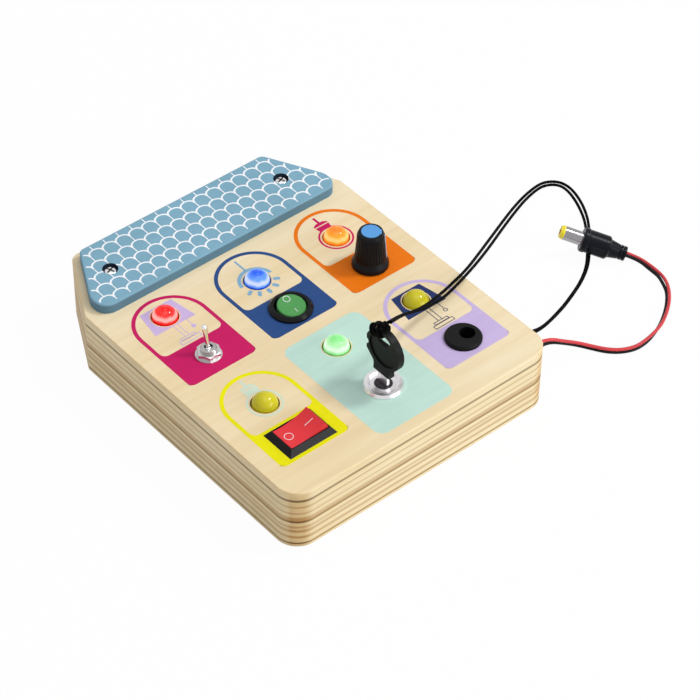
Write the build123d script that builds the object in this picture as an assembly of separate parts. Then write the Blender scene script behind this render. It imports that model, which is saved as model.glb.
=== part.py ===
from build123d import *
import math
import os

# Busy board: a house-shaped wooden box with six lamps, each worked by a different real switch.
# X runs along the roof, Y towards the roof, Z up. The origin is under the middle of the board.

# ---- Wooden box -------------------------------------------------------------------------------
board_width = 120.0
board_length = 148.2
shoulder_from_back = 29.7
back_edge_inset = 15.5
front_corner_radius = 9.0
shoulder_radius = 3.0
back_corner_radius = 4.5
bottom_thickness = 2.0
ring_thickness = 10.1
panel_thickness = 4.0
frame_wall = 8.0
cavity_corner_radius = 3.0
edge_rounding = 0.5

# ---- Roof -------------------------------------------------------------------------------------
roof_thickness = 4.15
roof_front_from_back = 34.6
roof_shoulder_from_back = 26.5
roof_back_inset = 3.1
roof_side_inset = 4.9
roof_back_trim = 3.1
roof_front_radius = 5.5
roof_shoulder_radius = 8.0
roof_back_radius = 3.0
roof_edge_rounding = 0.6
roof_screw_inset = 19.9
roof_screw_from_back = 18.5
counterbore_radius = 2.95
counterbore_depth = 3.0

# ---- Screws -----------------------------------------------------------------------------------
screw_clearance = 0.05
pan_head_radius = 2.5
pan_head_height = 1.5
roof_screw_radius = 1.3
roof_screw_length = 6.5
cross_width = 0.8
cross_depth = 0.9
case_screw_head_radius = 2.9
case_screw_radius = 1.4
case_screw_length = 11.0
pilot_extra = 0.5
case_screw_side_from_front = (12.0, 104.0)
case_screw_back_spacing = 60.0

# ---- Layout of the controls and lamps ----------------------------------------------------------
column_from_side = 22.3
upper_row_share = 0.50405
lower_row_share = 0.157895
lamp_near = 19.5
lamp_far = 25.6

# ---- Lamps ------------------------------------------------------------------------------------
lamp_hole_radius = 5.25
lamp_radius = 4.8
lamp_centre_below_top = 0.6
lamp_flange_radius = 5.8
lamp_flange_height = 1.5
lamp_holder_radius = 7.5
lamp_holder_floor = 1.2
lamp_holder_window = 3.6
holder_clearance = 0.1
lead_width = 0.5
lead_pitch = 2.54
lead_length = 6.5

# ---- Solder tabs and inner wires ---------------------------------------------------------------
tab_offset = 3.0
tab_width = 2.4
tab_thickness = 0.8
common_tab_bottom = 5.9
lamp_tab_bottom = 9.2
wire_radius = 0.55
common_wire_z = 6.8
lamp_wire_z = 10.4
supply_wire_z = 15.2
battery_lead_z = 11.0
battery_lead_x = -20.0
solder_gap = 0.1
splice_gap = 0.35

# ---- Lever switch -----------------------------------------------------------------------------
lever_body_x = 8.0
lever_body_y = 13.2
lever_body_height = 9.5
bushing_radius = 3.0
bushing_rise = 3.9
bushing_bore_radius = 1.6
bushing_bore_depth = 6.5
nut_across_flats = 8.0
nut_height = 2.0
back_nut_height = 1.0
washer_radius = 4.9
washer_thickness = 0.4
thread_clearance = 0.03
panel_hole_clearance = 0.2
lever_pivot_rise = 2.4
lever_ball_radius = 1.5
lever_base_radius = 0.75
lever_tip_radius = 1.1
lever_length = 10.5
lever_tail_length = 2.4
lever_lean = 13.0
lever_pin_radius = 0.4
lever_pin_length = 4.6
pivot_clearance = 0.05
pin_end_gap = 0.1

# ---- Round rocker -----------------------------------------------------------------------------
round_bezel_radius = 8.2
round_bezel_top_radius = 7.2
round_bezel_height = 1.9
round_opening_radius = 6.0
round_body_radius = 7.35
round_body_depth = 14.0
round_pocket_depth = 6.5
round_cap_radius = 5.35
round_cap_skirt_radius = 4.6
round_cap_rise = 2.6
round_cap_drop = 3.6
round_skirt_below_pivot = 1.2
round_dish_radius = 60.0
round_pivot_below_top = 0.5
round_pin_length = 13.4
rocker_pin_radius = 0.8
round_tilt = 9.0

# ---- Rectangular rocker -----------------------------------------------------------------------
rocker_bezel_x = 21.0
rocker_bezel_y = 15.0
rocker_bezel_height = 2.3
rocker_slope_inset = 1.75
rocker_opening_x = 16.9
rocker_opening_y = 10.8
rocker_body_x = 19.0
rocker_body_y = 12.8
rocker_body_depth = 13.8
rocker_pocket_x = 17.9
rocker_pocket_depth = 5.0
rocker_lip = 1.0
rocker_end_clearance = 0.08
rocker_side_clearance = 0.2
rocker_valley_rise = 2.45
rocker_valley_radius = 24.7
rocker_cap_drop = 3.4
rocker_pin_length = 12.2
rocker_tilt = 10.0

# ---- Dimmer and its knob -----------------------------------------------------------------------
dimmer_body_radius = 8.3
dimmer_body_height = 7.2
dimmer_bushing_radius = 3.45
dimmer_bushing_rise = 4.6
dimmer_nut_across_flats = 10.0
shaft_radius = 3.0
shaft_below_panel = 5.0
shaft_rise = 12.6
shaft_clearance = 0.04
knob_gap = 0.5
knob_skirt_radius = 7.0
knob_skirt_height = 3.2
knob_waist_radius = 5.9
knob_top_radius = 5.1
knob_body_height = 14.6
knob_rim_radius = 4.5
knob_height = 16.0
knob_hollow_radius = 6.2
knob_hollow_height = 2.7
knob_neck_radius = 4.1
knob_neck_height = 5.4
knob_socket_height = 12.8
knob_flutes = 30
flute_radius = 0.3
cap_radius = 3.1
cap_thickness = 1.3
cap_pointer_reach = 4.2
cap_pointer_half_width = 1.2
cap_clearance = 0.06
knob_rest_angle = -43.0

# ---- Key switch and key ------------------------------------------------------------------------
lock_flange_radius = 7.5
lock_flange_top_radius = 6.9
lock_flange_height = 1.6
lock_dish_radius = 5.6
lock_dish_depth = 0.5
lock_barrel_radius = 5.9
lock_barrel_depth = 12.3
lock_contact_height = 2.7
lock_nut_across_flats = 15.0
lock_nut_height = 2.5
cylinder_radius = 3.3
cylinder_rise = 1.3
cylinder_depth = 12.2
cylinder_clearance = 0.05
keyway_length = 5.4
keyway_width = 1.5
keyway_depth = 13.0
blade_width = 5.0
blade_thickness = 1.2
blade_tip_gap = 0.4
blade_cuts = 4
blade_cut_pitch = 2.4
blade_cut_depth = 0.9
blade_first_cut = 2.6
blade_in_head = 4.5
head_bottom = 6.5
neck_half_width = 4.1
neck_height = 3.6
bow_rise = 18.0
bow_offset = -0.6
bow_radius = 8.5
bow_thickness = 2.6
bow_rim = 1.5
bow_recess = 0.5
shoulder_reach = 7.9
shoulder_low = 13.9
shoulder_high = 20.4
notch_rise = 16.8
notch_radius = 1.5
lanyard_slot_length = 7.4
lanyard_slot_height = 4.6
lanyard_slot_rise = 22.4

# ---- Lanyard ----------------------------------------------------------------------------------
lanyard_diameter = 1.15
hitch_loop_radius = 2.55
hitch_cord_radius = 0.62
hitch_angles = (24.0, 40.0)
knot_rise = 28.6
knot_radius = 1.75
knot_height = 3.0
stop_knot_radius = 2.2
cord_gap = 0.1
lanyard_hole_radius = 1.5
lanyard_hole_from_front = 23.5
lanyard_hole_z = 9.0

# ---- Socket -----------------------------------------------------------------------------------
socket_flange_radius = 6.95
socket_flange_height = 1.65
socket_barrel_radius = 5.5
socket_depth = 14.7
socket_bore_radius = 3.0
socket_bore_offset = 1.85
socket_bore_depth = 11.0
socket_nut_across_flats = 14.0
socket_nut_height = 2.0
socket_pin_radius = 1.0
socket_pin_length = 8.2
socket_spring_length = 5.0

# ---- Plug and its wires ------------------------------------------------------------------------
plug_tail = (133.97, -37.41, 2.96)
plug_heading = 131.7
plug_lift = 17.5
plug_body_radius = 4.6
plug_body_length = 11.2
plug_rim_radius = 4.9
plug_rim_length = 1.8
plug_grip_flat = 4.2
relief_length = 6.6
relief_neck_length = 3.8
relief_neck_radius = 3.6
relief_end_radius = 2.9
relief_groove_depth = 0.6
relief_groove_width = 0.5
relief_rings = 2
plug_barrel_radius = 2.75
plug_barrel_length = 8.8
plug_bore_radius = 1.05
plug_tip_length = 1.5
plug_tip_radius = 2.3
lead_diameter = 1.3
lead_hole_radius = 1.75
lead_hole_from_front = 16.95
lead_hole_z = 9.5

# ---- Battery compartment ------------------------------------------------------------------------
cell_radius = 5.2
cell_length = 43.3
nub_radius = 1.9
nub_length = 1.1
cell_gap = 0.4
cell_clearance = 0.25
tray_wall = 1.2
tray_from_back = 25.6
tray_spring_room = 5.0
tray_flange = 9.0
tray_flange_side = 3.6
contact_thickness = 0.4
contact_width = 8.0
contact_height = 8.0
spring_wire = 0.6
spring_base_radius = 3.2
spring_tip_radius = 1.8
spring_turns = 3
cover_clearance = 0.3
cover_margin = 7.5
cover_margin_side = 1.6
cover_rib = 1.0
cover_screw_length = 7.0

# ---- Heights and places worked out from the sizes above -----------------------------------------
front = -board_length / 2
back = board_length / 2
lower_ring_z = bottom_thickness
upper_ring_z = lower_ring_z + ring_thickness
panel_z = upper_ring_z + ring_thickness
deck_z = panel_z + panel_thickness
back_edge_width = board_width - 2 * back_edge_inset
upper_row = front + board_length * upper_row_share
lower_row = front + board_length * lower_row_share
cavity_side = board_width / 2 - frame_wall
column_pitch = board_width / 2 - column_from_side
lanyard_hole_y = front + lanyard_hole_from_front
lead_hole_y = front + lead_hole_from_front
wall_outside = board_width / 2 + 0.8
wall_inside = cavity_side - 0.2
lead_start_x = cavity_side - 7.6

LEVER_AT = (-column_pitch, upper_row)
ROUND_AT = (0.0, upper_row)
DIMMER_AT = (column_pitch, upper_row)
ROCKER_AT = (-column_pitch, lower_row)
LOCK_AT = (0.0, lower_row)
SOCKET_AT = (column_pitch, lower_row)

LAMPS = {
    "lamp_red": (-column_pitch, upper_row + lamp_far),
    "lamp_blue": (0.0, upper_row + lamp_near),
    "lamp_orange": (column_pitch, upper_row + lamp_near),
    "lamp_yellow_left": (-column_pitch, lower_row + lamp_near),
    "lamp_green": (0.0, lower_row + lamp_far),
    "lamp_yellow_right": (column_pitch, lower_row + lamp_far),
}

# Control place, and the height of the underside that its solder tabs hang from
CONTROLS = (
    (LEVER_AT, panel_z - back_nut_height - lever_body_height),
    (ROUND_AT, deck_z - round_body_depth),
    (DIMMER_AT, panel_z - dimmer_body_height),
    (ROCKER_AT, deck_z - rocker_body_depth),
    (LOCK_AT, deck_z - lock_barrel_depth - lock_contact_height),
    (SOCKET_AT, deck_z - socket_depth),
)

# Points of the free cords, from where each starts to where it ends
lanyard_low = lanyard_diameter / 2 + 0.02
lead_low = lead_diameter / 2 + 0.02

lanyard_a_route = (
    (2.10, -49.85, 54.5),
    (12.2, -44.2, 47.6),
    (19.6, -42.0, 43.2),
    (28.1, -39.0, 38.5),
    (37.9, -34.4, 33.5),
    (46.7, -30.5, 30.0),
    (52.2, -28.6, 29.1),
    (62.1, -25.0, 27.2),
    (76.4, -16.1, 20.5),
    (91.7, -6.4, 13.3),
    (106.6, 2.7, 7.1),
    (119.7, 9.8, 3.1),
    (129.9, 13.9, 1.26),
    (138.9, 15.7, lanyard_low),
    (143.2, 14.2, lanyard_low),
    (146.2, 10.9, lanyard_low),
    (146.7, 5.7, lanyard_low),
    (144.6, -1.5, lanyard_low),
    (141.5, -7.9, lanyard_low),
    (137.1, -14.3, 0.95),
    (130.6, -21.3, 1.88),
    (125.2, -27.1, 1.8),
    (118.9, -32.8, 1.67),
    (111.0, -37.5, 1.71),
    (102.1, -41.2, 1.75),
    (94.2, -44.3, 2.26),
    (79.6, -49.6, 5.5),
    (71.2, -51.5, 8.6),
    (wall_outside, lanyard_hole_y - 0.65, lanyard_hole_z),
    (cavity_side - cord_gap / 2, lanyard_hole_y - 0.65, lanyard_hole_z),
)
lanyard_b_route = (
    (2.10, -51.50, 54.9),
    (9.9, -46.6, 48.5),
    (18.2, -43.6, 43.3),
    (26.7, -40.6, 38.4),
    (36.7, -35.7, 32.9),
    (44.6, -32.8, 29.8),
    (49.9, -31.2, 29.2),
    (60.2, -27.1, 27.2),
    (73.7, -19.0, 20.5),
    (88.8, -9.6, 13.3),
    (103.8, -0.3, 7.1),
    (117.1, 7.0, 3.1),
    (127.9, 11.8, 1.26),
    (137.4, 14.1, lanyard_low),
    (141.9, 12.8, lanyard_low),
    (144.6, 9.8, lanyard_low),
    (144.7, 5.2, lanyard_low),
    (142.8, -1.1, lanyard_low),
    (139.5, -8.2, lanyard_low),
    (136.0, -13.7, lanyard_low),
    (131.0, -19.6, lanyard_low),
    (125.6, -25.7, lanyard_low),
    (119.2, -31.7, lanyard_low),
    (111.6, -36.4, lanyard_low),
    (102.7, -40.1, lanyard_low),
    (95.3, -42.9, 0.88),
    (80.7, -48.2, 3.8),
    (71.1, -50.0, 8.4),
    (wall_outside, lanyard_hole_y + 0.6, lanyard_hole_z),
    (cavity_side - cord_gap / 2, lanyard_hole_y + 0.6, lanyard_hole_z),
)
red_route = (
    (lead_start_x, lead_hole_y + 0.95, 9.2),
    (wall_inside, lead_hole_y + 0.75, lead_hole_z),
    (wall_outside, lead_hole_y + 0.75, lead_hole_z),
    (67.2, -56.7, 9.6),
    (75.1, -57.5, 8.3),
    (80.8, -59.0, 4.9),
    (85.7, -61.5, 2.98),
    (89.4, -65.8, 2.05),
    (92.4, -70.6, 2.18),
    (96.5, -74.3, 2.1),
    (102.0, -76.4, 2.1),
    (107.6, -76.1, 2.08),
    (112.7, -75.2, 2.1),
    (117.8, -73.7, 2.0),
    (123.5, -70.5, 1.75),
    (128.4, -67.1, 1.78),
    (132.6, -63.0, 1.87),
    (136.1, -58.2, 1.57),
    (138.1, -53.2, 1.03),
    (138.1, -48.1, 1.39),
    (138.00, -40.85, 1.31),
    (134.58, -37.02, 2.92),
)
black_route = (
    (lead_start_x, lead_hole_y - 0.45, 7.2),
    (wall_inside, lead_hole_y - 0.65, lead_hole_z),
    (wall_outside, lead_hole_y - 0.65, lead_hole_z),
    (67.2, -58.2, 8.6),
    (75.4, -57.1, 6.2),
    (81.2, -58.8, 3.4),
    (86.0, -61.3, 1.34),
    (89.5, -65.9, lead_low),
    (92.5, -70.7, lead_low),
    (96.7, -74.3, lead_low),
    (102.0, -76.5, lead_low),
    (108.1, -76.2, lead_low),
    (113.3, -74.6, lead_low),
    (118.0, -72.7, lead_low),
    (123.5, -69.5, lead_low),
    (128.6, -65.7, lead_low),
    (132.9, -61.4, lead_low),
    (135.0, -57.4, lead_low),
    (136.6, -52.9, 0.72),
    (136.1, -47.9, 1.03),
    (136.92, -41.81, 1.31),
    (133.51, -37.98, 2.92),
)

parts = {}


def at(place, z=0.0):
    """Location over a place on the board at a height."""
    return Location((place[0], place[1], z))


def post(radius, height, place=(0.0, 0.0), z=0.0):
    """Upright cylinder standing on height z."""
    body = Cylinder(radius, height, align=(Align.CENTER, Align.CENTER, Align.MIN))
    return at(place, z) * body


def block(x, y, height, place=(0.0, 0.0), z=0.0):
    """Upright box standing on height z, centred on a place."""
    body = Box(x, y, height, align=(Align.CENTER, Align.CENTER, Align.MIN))
    return at(place, z) * body


def turned(points):
    """Solid turned about Z from an outline of (radius, height) points."""
    outline = make_face(Plane.XZ * Polyline(*points, close=True))
    return revolve(outline, Axis.Z)


def hexagon(across_flats, height, bore, place, z):
    """Hexagon nut with its corners chamfered by a cone, and a plain bore."""
    corner = across_flats / math.sqrt(3)
    nut = extrude(RegularPolygon(corner, 6), height)
    rise = (corner - across_flats / 2) * 0.6
    cone = turned(((0, 0), (corner, 0), (corner, height - rise), (across_flats / 2, height), (0, height)))
    nut = (nut & cone) - post(bore, height)
    return at(place, z) * nut


def house_outline(width, back_width, front_y, shoulder_y, back_y):
    """House outline: straight sides, then slants in to the narrower back edge."""
    points = (
        (-width / 2, front_y),
        (width / 2, front_y),
        (width / 2, shoulder_y),
        (back_width / 2, back_y),
        (-back_width / 2, back_y),
        (-width / 2, shoulder_y),
    )
    return make_face(Polyline(*points, close=True))


def round_corners(face, front_radius, middle_radius, back_radius):
    """Fillet the outline's three pairs of corners, front to back."""
    corners = face.vertices().sort_by(Axis.Y)
    face = fillet(corners[0:2], front_radius)
    face = fillet(face.vertices().sort_by(Axis.Y)[4:6], middle_radius)
    return fillet(face.vertices().sort_by(Axis.Y)[8:10], back_radius)


board_face = round_corners(
    house_outline(board_width, back_edge_width, front, back - shoulder_from_back, back),
    front_corner_radius,
    shoulder_radius,
    back_corner_radius,
)

# The cavity's sides are the board's sides moved in by the frame's wall
slant_angle = math.atan2(shoulder_from_back, (board_width - back_edge_width) / 2)
slant_step = frame_wall / math.tan(math.radians(90) - (math.pi / 2 - slant_angle) / 2)
cavity_back_trim = frame_wall * math.tan(slant_angle / 2)
cavity_face = round_corners(
    house_outline(
        board_width - 2 * frame_wall,
        back_edge_width - 2 * cavity_back_trim,
        front + frame_wall,
        back - shoulder_from_back - slant_step,
        back - frame_wall,
    ),
    cavity_corner_radius,
    cavity_corner_radius,
    cavity_corner_radius,
)

# ---- Wooden parts -----------------------------------------------------------------------------
side_screws = []
for from_front in case_screw_side_from_front:
    for side in (-1, 1):
        side_screws.append((side * (board_width - frame_wall) / 2, front + from_front))
back_screws = []
for side in (-1, 1):
    back_screws.append((side * case_screw_back_spacing / 2, (board_length - frame_wall) / 2))
case_screw_places = side_screws + back_screws
roof_screw_places = []
for side in (-1, 1):
    roof_screw_places.append((side * (board_width / 2 - roof_screw_inset), back - roof_screw_from_back))


def side_hole(radius, y, z):
    """Hole through the right-hand wall."""
    return Location((cavity_side + frame_wall / 2, y, z), (0, 90, 0)) * Cylinder(radius, 2 * frame_wall)


ring = extrude(board_face - cavity_face, ring_thickness)
lower_frame = Pos(0, 0, lower_ring_z) * ring
lower_frame -= side_hole(lanyard_hole_radius, lanyard_hole_y, lanyard_hole_z)
lower_frame -= side_hole(lead_hole_radius, lead_hole_y, lead_hole_z)
pilot_depth = case_screw_length - bottom_thickness + pilot_extra
for place in case_screw_places:
    lower_frame -= post(case_screw_radius + screw_clearance, pilot_depth, place, lower_ring_z)
parts["lower_frame"] = lower_frame
parts["upper_frame"] = Pos(0, 0, upper_ring_z) * ring

top_panel = Pos(0, 0, panel_z) * extrude(board_face, panel_thickness)
top_panel = fillet(top_panel.edges().group_by(Axis.Z)[-1], edge_rounding)
for place in LAMPS.values():
    top_panel -= post(lamp_hole_radius, panel_thickness, place, panel_z)
top_panel -= post(bushing_radius + panel_hole_clearance, panel_thickness, LEVER_AT, panel_z)
top_panel -= post(round_body_radius + panel_hole_clearance, panel_thickness, ROUND_AT, panel_z)
top_panel -= post(dimmer_bushing_radius + panel_hole_clearance, panel_thickness, DIMMER_AT, panel_z)
top_panel -= block(
    rocker_body_x + 2 * panel_hole_clearance,
    rocker_body_y + 2 * panel_hole_clearance,
    panel_thickness,
    ROCKER_AT,
    panel_z,
)
top_panel -= post(lock_barrel_radius + panel_hole_clearance, panel_thickness, LOCK_AT, panel_z)
top_panel -= post(socket_barrel_radius + panel_hole_clearance, panel_thickness, SOCKET_AT, panel_z)
for place in roof_screw_places:
    top_panel -= post(roof_screw_radius + screw_clearance, panel_thickness, place, panel_z)
parts["top_panel"] = top_panel

roof_face = round_corners(
    house_outline(
        board_width - 2 * roof_side_inset,
        back_edge_width - roof_back_trim,
        back - roof_front_from_back,
        back - roof_shoulder_from_back,
        back - roof_back_inset,
    ),
    roof_front_radius,
    roof_shoulder_radius,
    roof_back_radius,
)
roof_plate = Pos(0, 0, deck_z) * extrude(roof_face, roof_thickness)
roof_plate = fillet(roof_plate.edges().group_by(Axis.Z)[-1], roof_edge_rounding)
roof_top_z = deck_z + roof_thickness
for place in roof_screw_places:
    roof_plate -= post(counterbore_radius, counterbore_depth, place, roof_top_z - counterbore_depth)
    roof_plate -= post(roof_screw_radius + screw_clearance, roof_thickness, place, deck_z)
parts["roof_plate"] = roof_plate

# ---- Screws -----------------------------------------------------------------------------------


def cross(depth, size):
    """Cross recess cutter whose top is at height 0."""
    arm = Box(size, cross_width, depth, align=(Align.CENTER, Align.CENTER, Align.MAX))
    return arm + Rot(0, 0, 90) * arm


def pan_screw(radius, length):
    """Pan-head wood screw pointing down, its head's underside at height 0."""
    tip = radius * 1.6
    profile = (
        (0, -length),
        (radius, tip - length),
        (radius, 0),
        (pan_head_radius, 0),
        (pan_head_radius, pan_head_height * 0.45),
        (pan_head_radius * 0.84, pan_head_height * 0.82),
        (pan_head_radius * 0.5, pan_head_height),
        (0, pan_head_height),
    )
    return turned(profile) - Pos(0, 0, pan_head_height) * cross(cross_depth, pan_head_radius * 1.2)


def sunk_screw(head_radius, radius, length):
    """Countersunk screw pointing up, its head flush with height 0."""
    head_height = head_radius - radius
    profile = (
        (0, 0),
        (head_radius, 0),
        (radius, head_height),
        (radius, length - radius * 1.6),
        (0, length),
    )
    return turned(profile) - Rot(180, 0, 0) * cross(cross_depth, head_radius * 1.1)


def countersink(head_radius, radius, depth, place):
    """Cutter for a countersunk screw through a plate of the given depth, from below."""
    wide = head_radius + screw_clearance
    narrow = radius + screw_clearance
    profile = ((0, 0), (wide, 0), (narrow, wide - narrow), (narrow, depth), (0, depth))
    return at(place) * turned(profile)


screws = []
for place in roof_screw_places:
    seat = at(place, roof_top_z - counterbore_depth)
    screws.append(seat * pan_screw(roof_screw_radius, roof_screw_length))
parts["roof_screws"] = screws

case_screws = []
for place in case_screw_places:
    screw = sunk_screw(case_screw_head_radius, case_screw_radius, case_screw_length)
    case_screws.append(at(place) * screw)
parts["case_screws"] = case_screws

# ---- Battery compartment: tray, cells, contacts and the cover in the underside --------------------
tray_y = back - tray_from_back
cell_pitch = 2 * cell_radius + cell_gap
tray_inner_x = cell_length + nub_length + tray_spring_room + 2 * contact_thickness
tray_inner_y = 2 * cell_radius + cell_pitch + 2 * cell_clearance
tray_inner_z = 2 * cell_radius + 2 * cell_clearance
tray_x = tray_inner_x + 2 * tray_wall
tray_depth = tray_inner_y + 2 * tray_wall
cover_x = tray_inner_x + 2 * cover_margin
cover_y = tray_inner_y + 2 * cover_margin_side
cover_screw_x = cover_x / 2 - case_screw_head_radius - cover_clearance

tray = block(tray_x, tray_depth, tray_inner_z + tray_wall, z=bottom_thickness)
tray += block(tray_x + 2 * tray_flange, tray_depth + 2 * tray_flange_side, tray_wall, z=bottom_thickness)
tray -= block(tray_inner_x, tray_inner_y, tray_inner_z, z=bottom_thickness)
boss_height = cover_screw_length - bottom_thickness + 1.0
tray += post(case_screw_head_radius, boss_height, (cover_screw_x, 0), bottom_thickness)
tray -= post(roof_screw_radius + screw_clearance, boss_height - 0.5, (cover_screw_x, 0), bottom_thickness)
parts["battery_tray"] = at((0, tray_y)) * tray

bottom_panel = extrude(board_face, bottom_thickness)
for place in case_screw_places:
    bottom_panel -= countersink(case_screw_head_radius, case_screw_radius, bottom_thickness, place)
bottom_panel -= block(
    cover_x + 2 * cover_clearance, cover_y + 2 * cover_clearance, bottom_thickness, (0, tray_y)
)
parts["bottom_panel"] = bottom_panel

cover = block(cover_x, cover_y, bottom_thickness)
rib_x = tray_inner_x / 2 - cover_clearance - cover_rib / 2
cover += block(cover_rib, tray_inner_y * 0.6, cover_rib * 0.9, (-rib_x, 0), bottom_thickness)
cover -= countersink(case_screw_head_radius, roof_screw_radius, bottom_thickness, (cover_screw_x, 0))
parts["battery_cover"] = at((0, tray_y)) * cover
cover_screw = sunk_screw(case_screw_head_radius, roof_screw_radius, cover_screw_length)
parts["cover_screw"] = at((cover_screw_x, tray_y)) * cover_screw

cell_z = bottom_thickness + cell_clearance + cell_radius
cell = Rot(0, 90, 0) * turned(
    (
        (0, -cell_length / 2),
        (cell_radius, -cell_length / 2),
        (cell_radius, cell_length / 2),
        (nub_radius, cell_length / 2),
        (nub_radius, cell_length / 2 + nub_length),
        (0, cell_length / 2 + nub_length),
    )
)
contact_face = tray_inner_x / 2 - contact_thickness
nub_end = contact_face - cord_gap
cell_shift = nub_end - nub_length - cell_length / 2
cells = []
contacts = []
springs = []
spring_length = tray_spring_room - 2 * cord_gap


def battery_spring():
    """Cone-shaped coil along +X from its contact plate at X = 0."""
    pitch = (spring_length - spring_wire) / spring_turns
    coil = Helix(
        pitch,
        spring_length - spring_wire,
        spring_base_radius,
        cone_angle=-math.degrees(
            math.atan2(spring_base_radius - spring_tip_radius, spring_length - spring_wire)
        ),
    )
    section = Plane(origin=coil @ 0, z_dir=coil % 0) * RegularPolygon(spring_wire / 2, 6)
    return Rot(0, 90, 0) * Pos(0, 0, spring_wire / 2) * sweep(section, path=coil, is_frenet=True)


for side in (-1, 1):
    lane = (0, tray_y + side * cell_pitch / 2)
    turn = 0 if side > 0 else 180
    seat = at(lane, cell_z) * Rot(0, 0, turn)
    cells.append(seat * Pos(cell_shift, 0, 0) * cell)
    springs.append(seat * Pos(-contact_face + cord_gap / 2, 0, 0) * battery_spring())
    for end in (-1, 1):
        plate = Box(contact_thickness, contact_width, contact_height)
        contacts.append(seat * Pos(end * (contact_face + contact_thickness / 2), 0, 0) * plate)
parts["battery_cells"] = cells
parts["battery_contacts"] = contacts + springs

# ---- Lamps, their holders and leads --------------------------------------------------------------
dome_centre = deck_z - lamp_centre_below_top
lamp_bottom = panel_z - lamp_flange_height
lamp_profile = Polyline(
    (0, dome_centre + lamp_radius),
    (0, lamp_bottom),
    (lamp_flange_radius, lamp_bottom),
    (lamp_flange_radius, panel_z),
    (lamp_radius, panel_z),
    (lamp_radius, dome_centre),
)
lamp_dome = RadiusArc((lamp_radius, dome_centre), (0, dome_centre + lamp_radius), -lamp_radius)
lamp = revolve(make_face(Plane.XZ * (lamp_profile + lamp_dome)), Axis.Z)
holder_inner = lamp_flange_radius + holder_clearance
holder = turned(
    (
        (lamp_holder_window, lamp_bottom - lamp_holder_floor),
        (lamp_holder_radius, lamp_bottom - lamp_holder_floor),
        (lamp_holder_radius, panel_z),
        (holder_inner, panel_z),
        (holder_inner, lamp_bottom),
        (lamp_holder_window, lamp_bottom),
    )
)
holders = []
leads = []
lead_bottom = lamp_bottom - lead_length
for name, place in LAMPS.items():
    parts[name] = at(place) * lamp
    holders.append(at(place) * holder)
    for side in (-1, 1):
        spot = (place[0] + side * lead_pitch / 2, place[1])
        leads.append(block(lead_width, lead_width, lead_length, spot, lead_bottom))
parts["lamp_holders"] = holders
parts["lamp_leads"] = leads

# ---- Lever switch -----------------------------------------------------------------------------
lever_body_top = panel_z - back_nut_height
lever_body_bottom = lever_body_top - lever_body_height
lever_body = block(lever_body_x, lever_body_y, lever_body_height, LEVER_AT, lever_body_bottom)
lever_body = fillet(lever_body.edges().filter_by(Axis.Z), 0.6)
parts["lever_switch_body"] = lever_body

pivot_z = deck_z + lever_pivot_rise
bushing_top = deck_z + bushing_rise
bushing = post(bushing_radius, bushing_top - lever_body_top, LEVER_AT, lever_body_top)
bushing = chamfer(bushing.edges().group_by(Axis.Z)[-1], 0.35)
bushing -= post(bushing_bore_radius, bushing_bore_depth, LEVER_AT, bushing_top - bushing_bore_depth)
pin_hole = Rot(0, 90, 0) * Cylinder(
    lever_pin_radius + pivot_clearance, lever_pin_length + 2 * pin_end_gap
)
bushing -= at(LEVER_AT, pivot_z) * pin_hole
parts["lever_bushing"] = bushing
nut_bore = bushing_radius + thread_clearance
parts["lever_washer"] = post(washer_radius, washer_thickness, LEVER_AT, deck_z) - post(
    nut_bore, washer_thickness, LEVER_AT, deck_z
)
nut_z = deck_z + washer_thickness
parts["lever_nut"] = hexagon(nut_across_flats, nut_height, nut_bore, LEVER_AT, nut_z)
parts["lever_back_nut"] = hexagon(
    nut_across_flats, back_nut_height, nut_bore, LEVER_AT, lever_body_top
)

lever_shank = lever_length - lever_tip_radius
lever = Sphere(lever_ball_radius)
lever += turned(((0, 0), (lever_base_radius, 0), (lever_tip_radius, lever_shank), (0, lever_shank)))
lever += Pos(0, 0, lever_shank) * Sphere(lever_tip_radius)
lever += post(lever_base_radius, lever_tail_length, z=-lever_tail_length)
lever += Rot(0, 90, 0) * Cylinder(lever_pin_radius, lever_pin_length)
parts["lever"] = at(LEVER_AT, pivot_z) * Rot(-lever_lean, 0, 0) * lever

# ---- Round rocker -----------------------------------------------------------------------------
round_base = -round_body_depth
round_housing = turned(
    (
        (0, round_base),
        (round_body_radius, round_base),
        (round_body_radius, 0),
        (round_bezel_radius, 0),
        (round_bezel_radius, round_bezel_height * 0.45),
        (round_bezel_top_radius, round_bezel_height),
        (round_opening_radius + 0.45, round_bezel_height),
        (round_opening_radius, round_bezel_height - 0.45),
        (round_opening_radius, -round_pocket_depth),
        (0, -round_pocket_depth),
    )
)
round_pin_hole = Rot(0, 90, 0) * Cylinder(
    rocker_pin_radius + pivot_clearance, round_pin_length + 2 * pin_end_gap
)
round_housing -= Pos(0, 0, -round_pivot_below_top) * round_pin_hole
parts["round_switch_housing"] = at(ROUND_AT, deck_z) * round_housing

round_cap = turned(
    (
        (0, -round_cap_drop),
        (round_cap_skirt_radius, -round_cap_drop),
        (round_cap_skirt_radius, -round_skirt_below_pivot),
        (round_cap_radius, 0),
        (round_cap_radius, round_cap_rise - 0.35),
        (round_cap_radius - 0.35, round_cap_rise),
        (0, round_cap_rise),
    )
)
dish_depth = round_dish_radius - math.sqrt(round_dish_radius**2 - round_cap_radius**2)
round_cap -= Pos(0, 0, round_cap_rise - dish_depth + round_dish_radius) * Sphere(round_dish_radius)
round_cap += Rot(0, 90, 0) * Cylinder(rocker_pin_radius, round_pin_length)
round_pivot = at(ROUND_AT, deck_z - round_pivot_below_top)
parts["round_switch_cap"] = round_pivot * Rot(round_tilt, 0, 0) * round_cap

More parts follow.
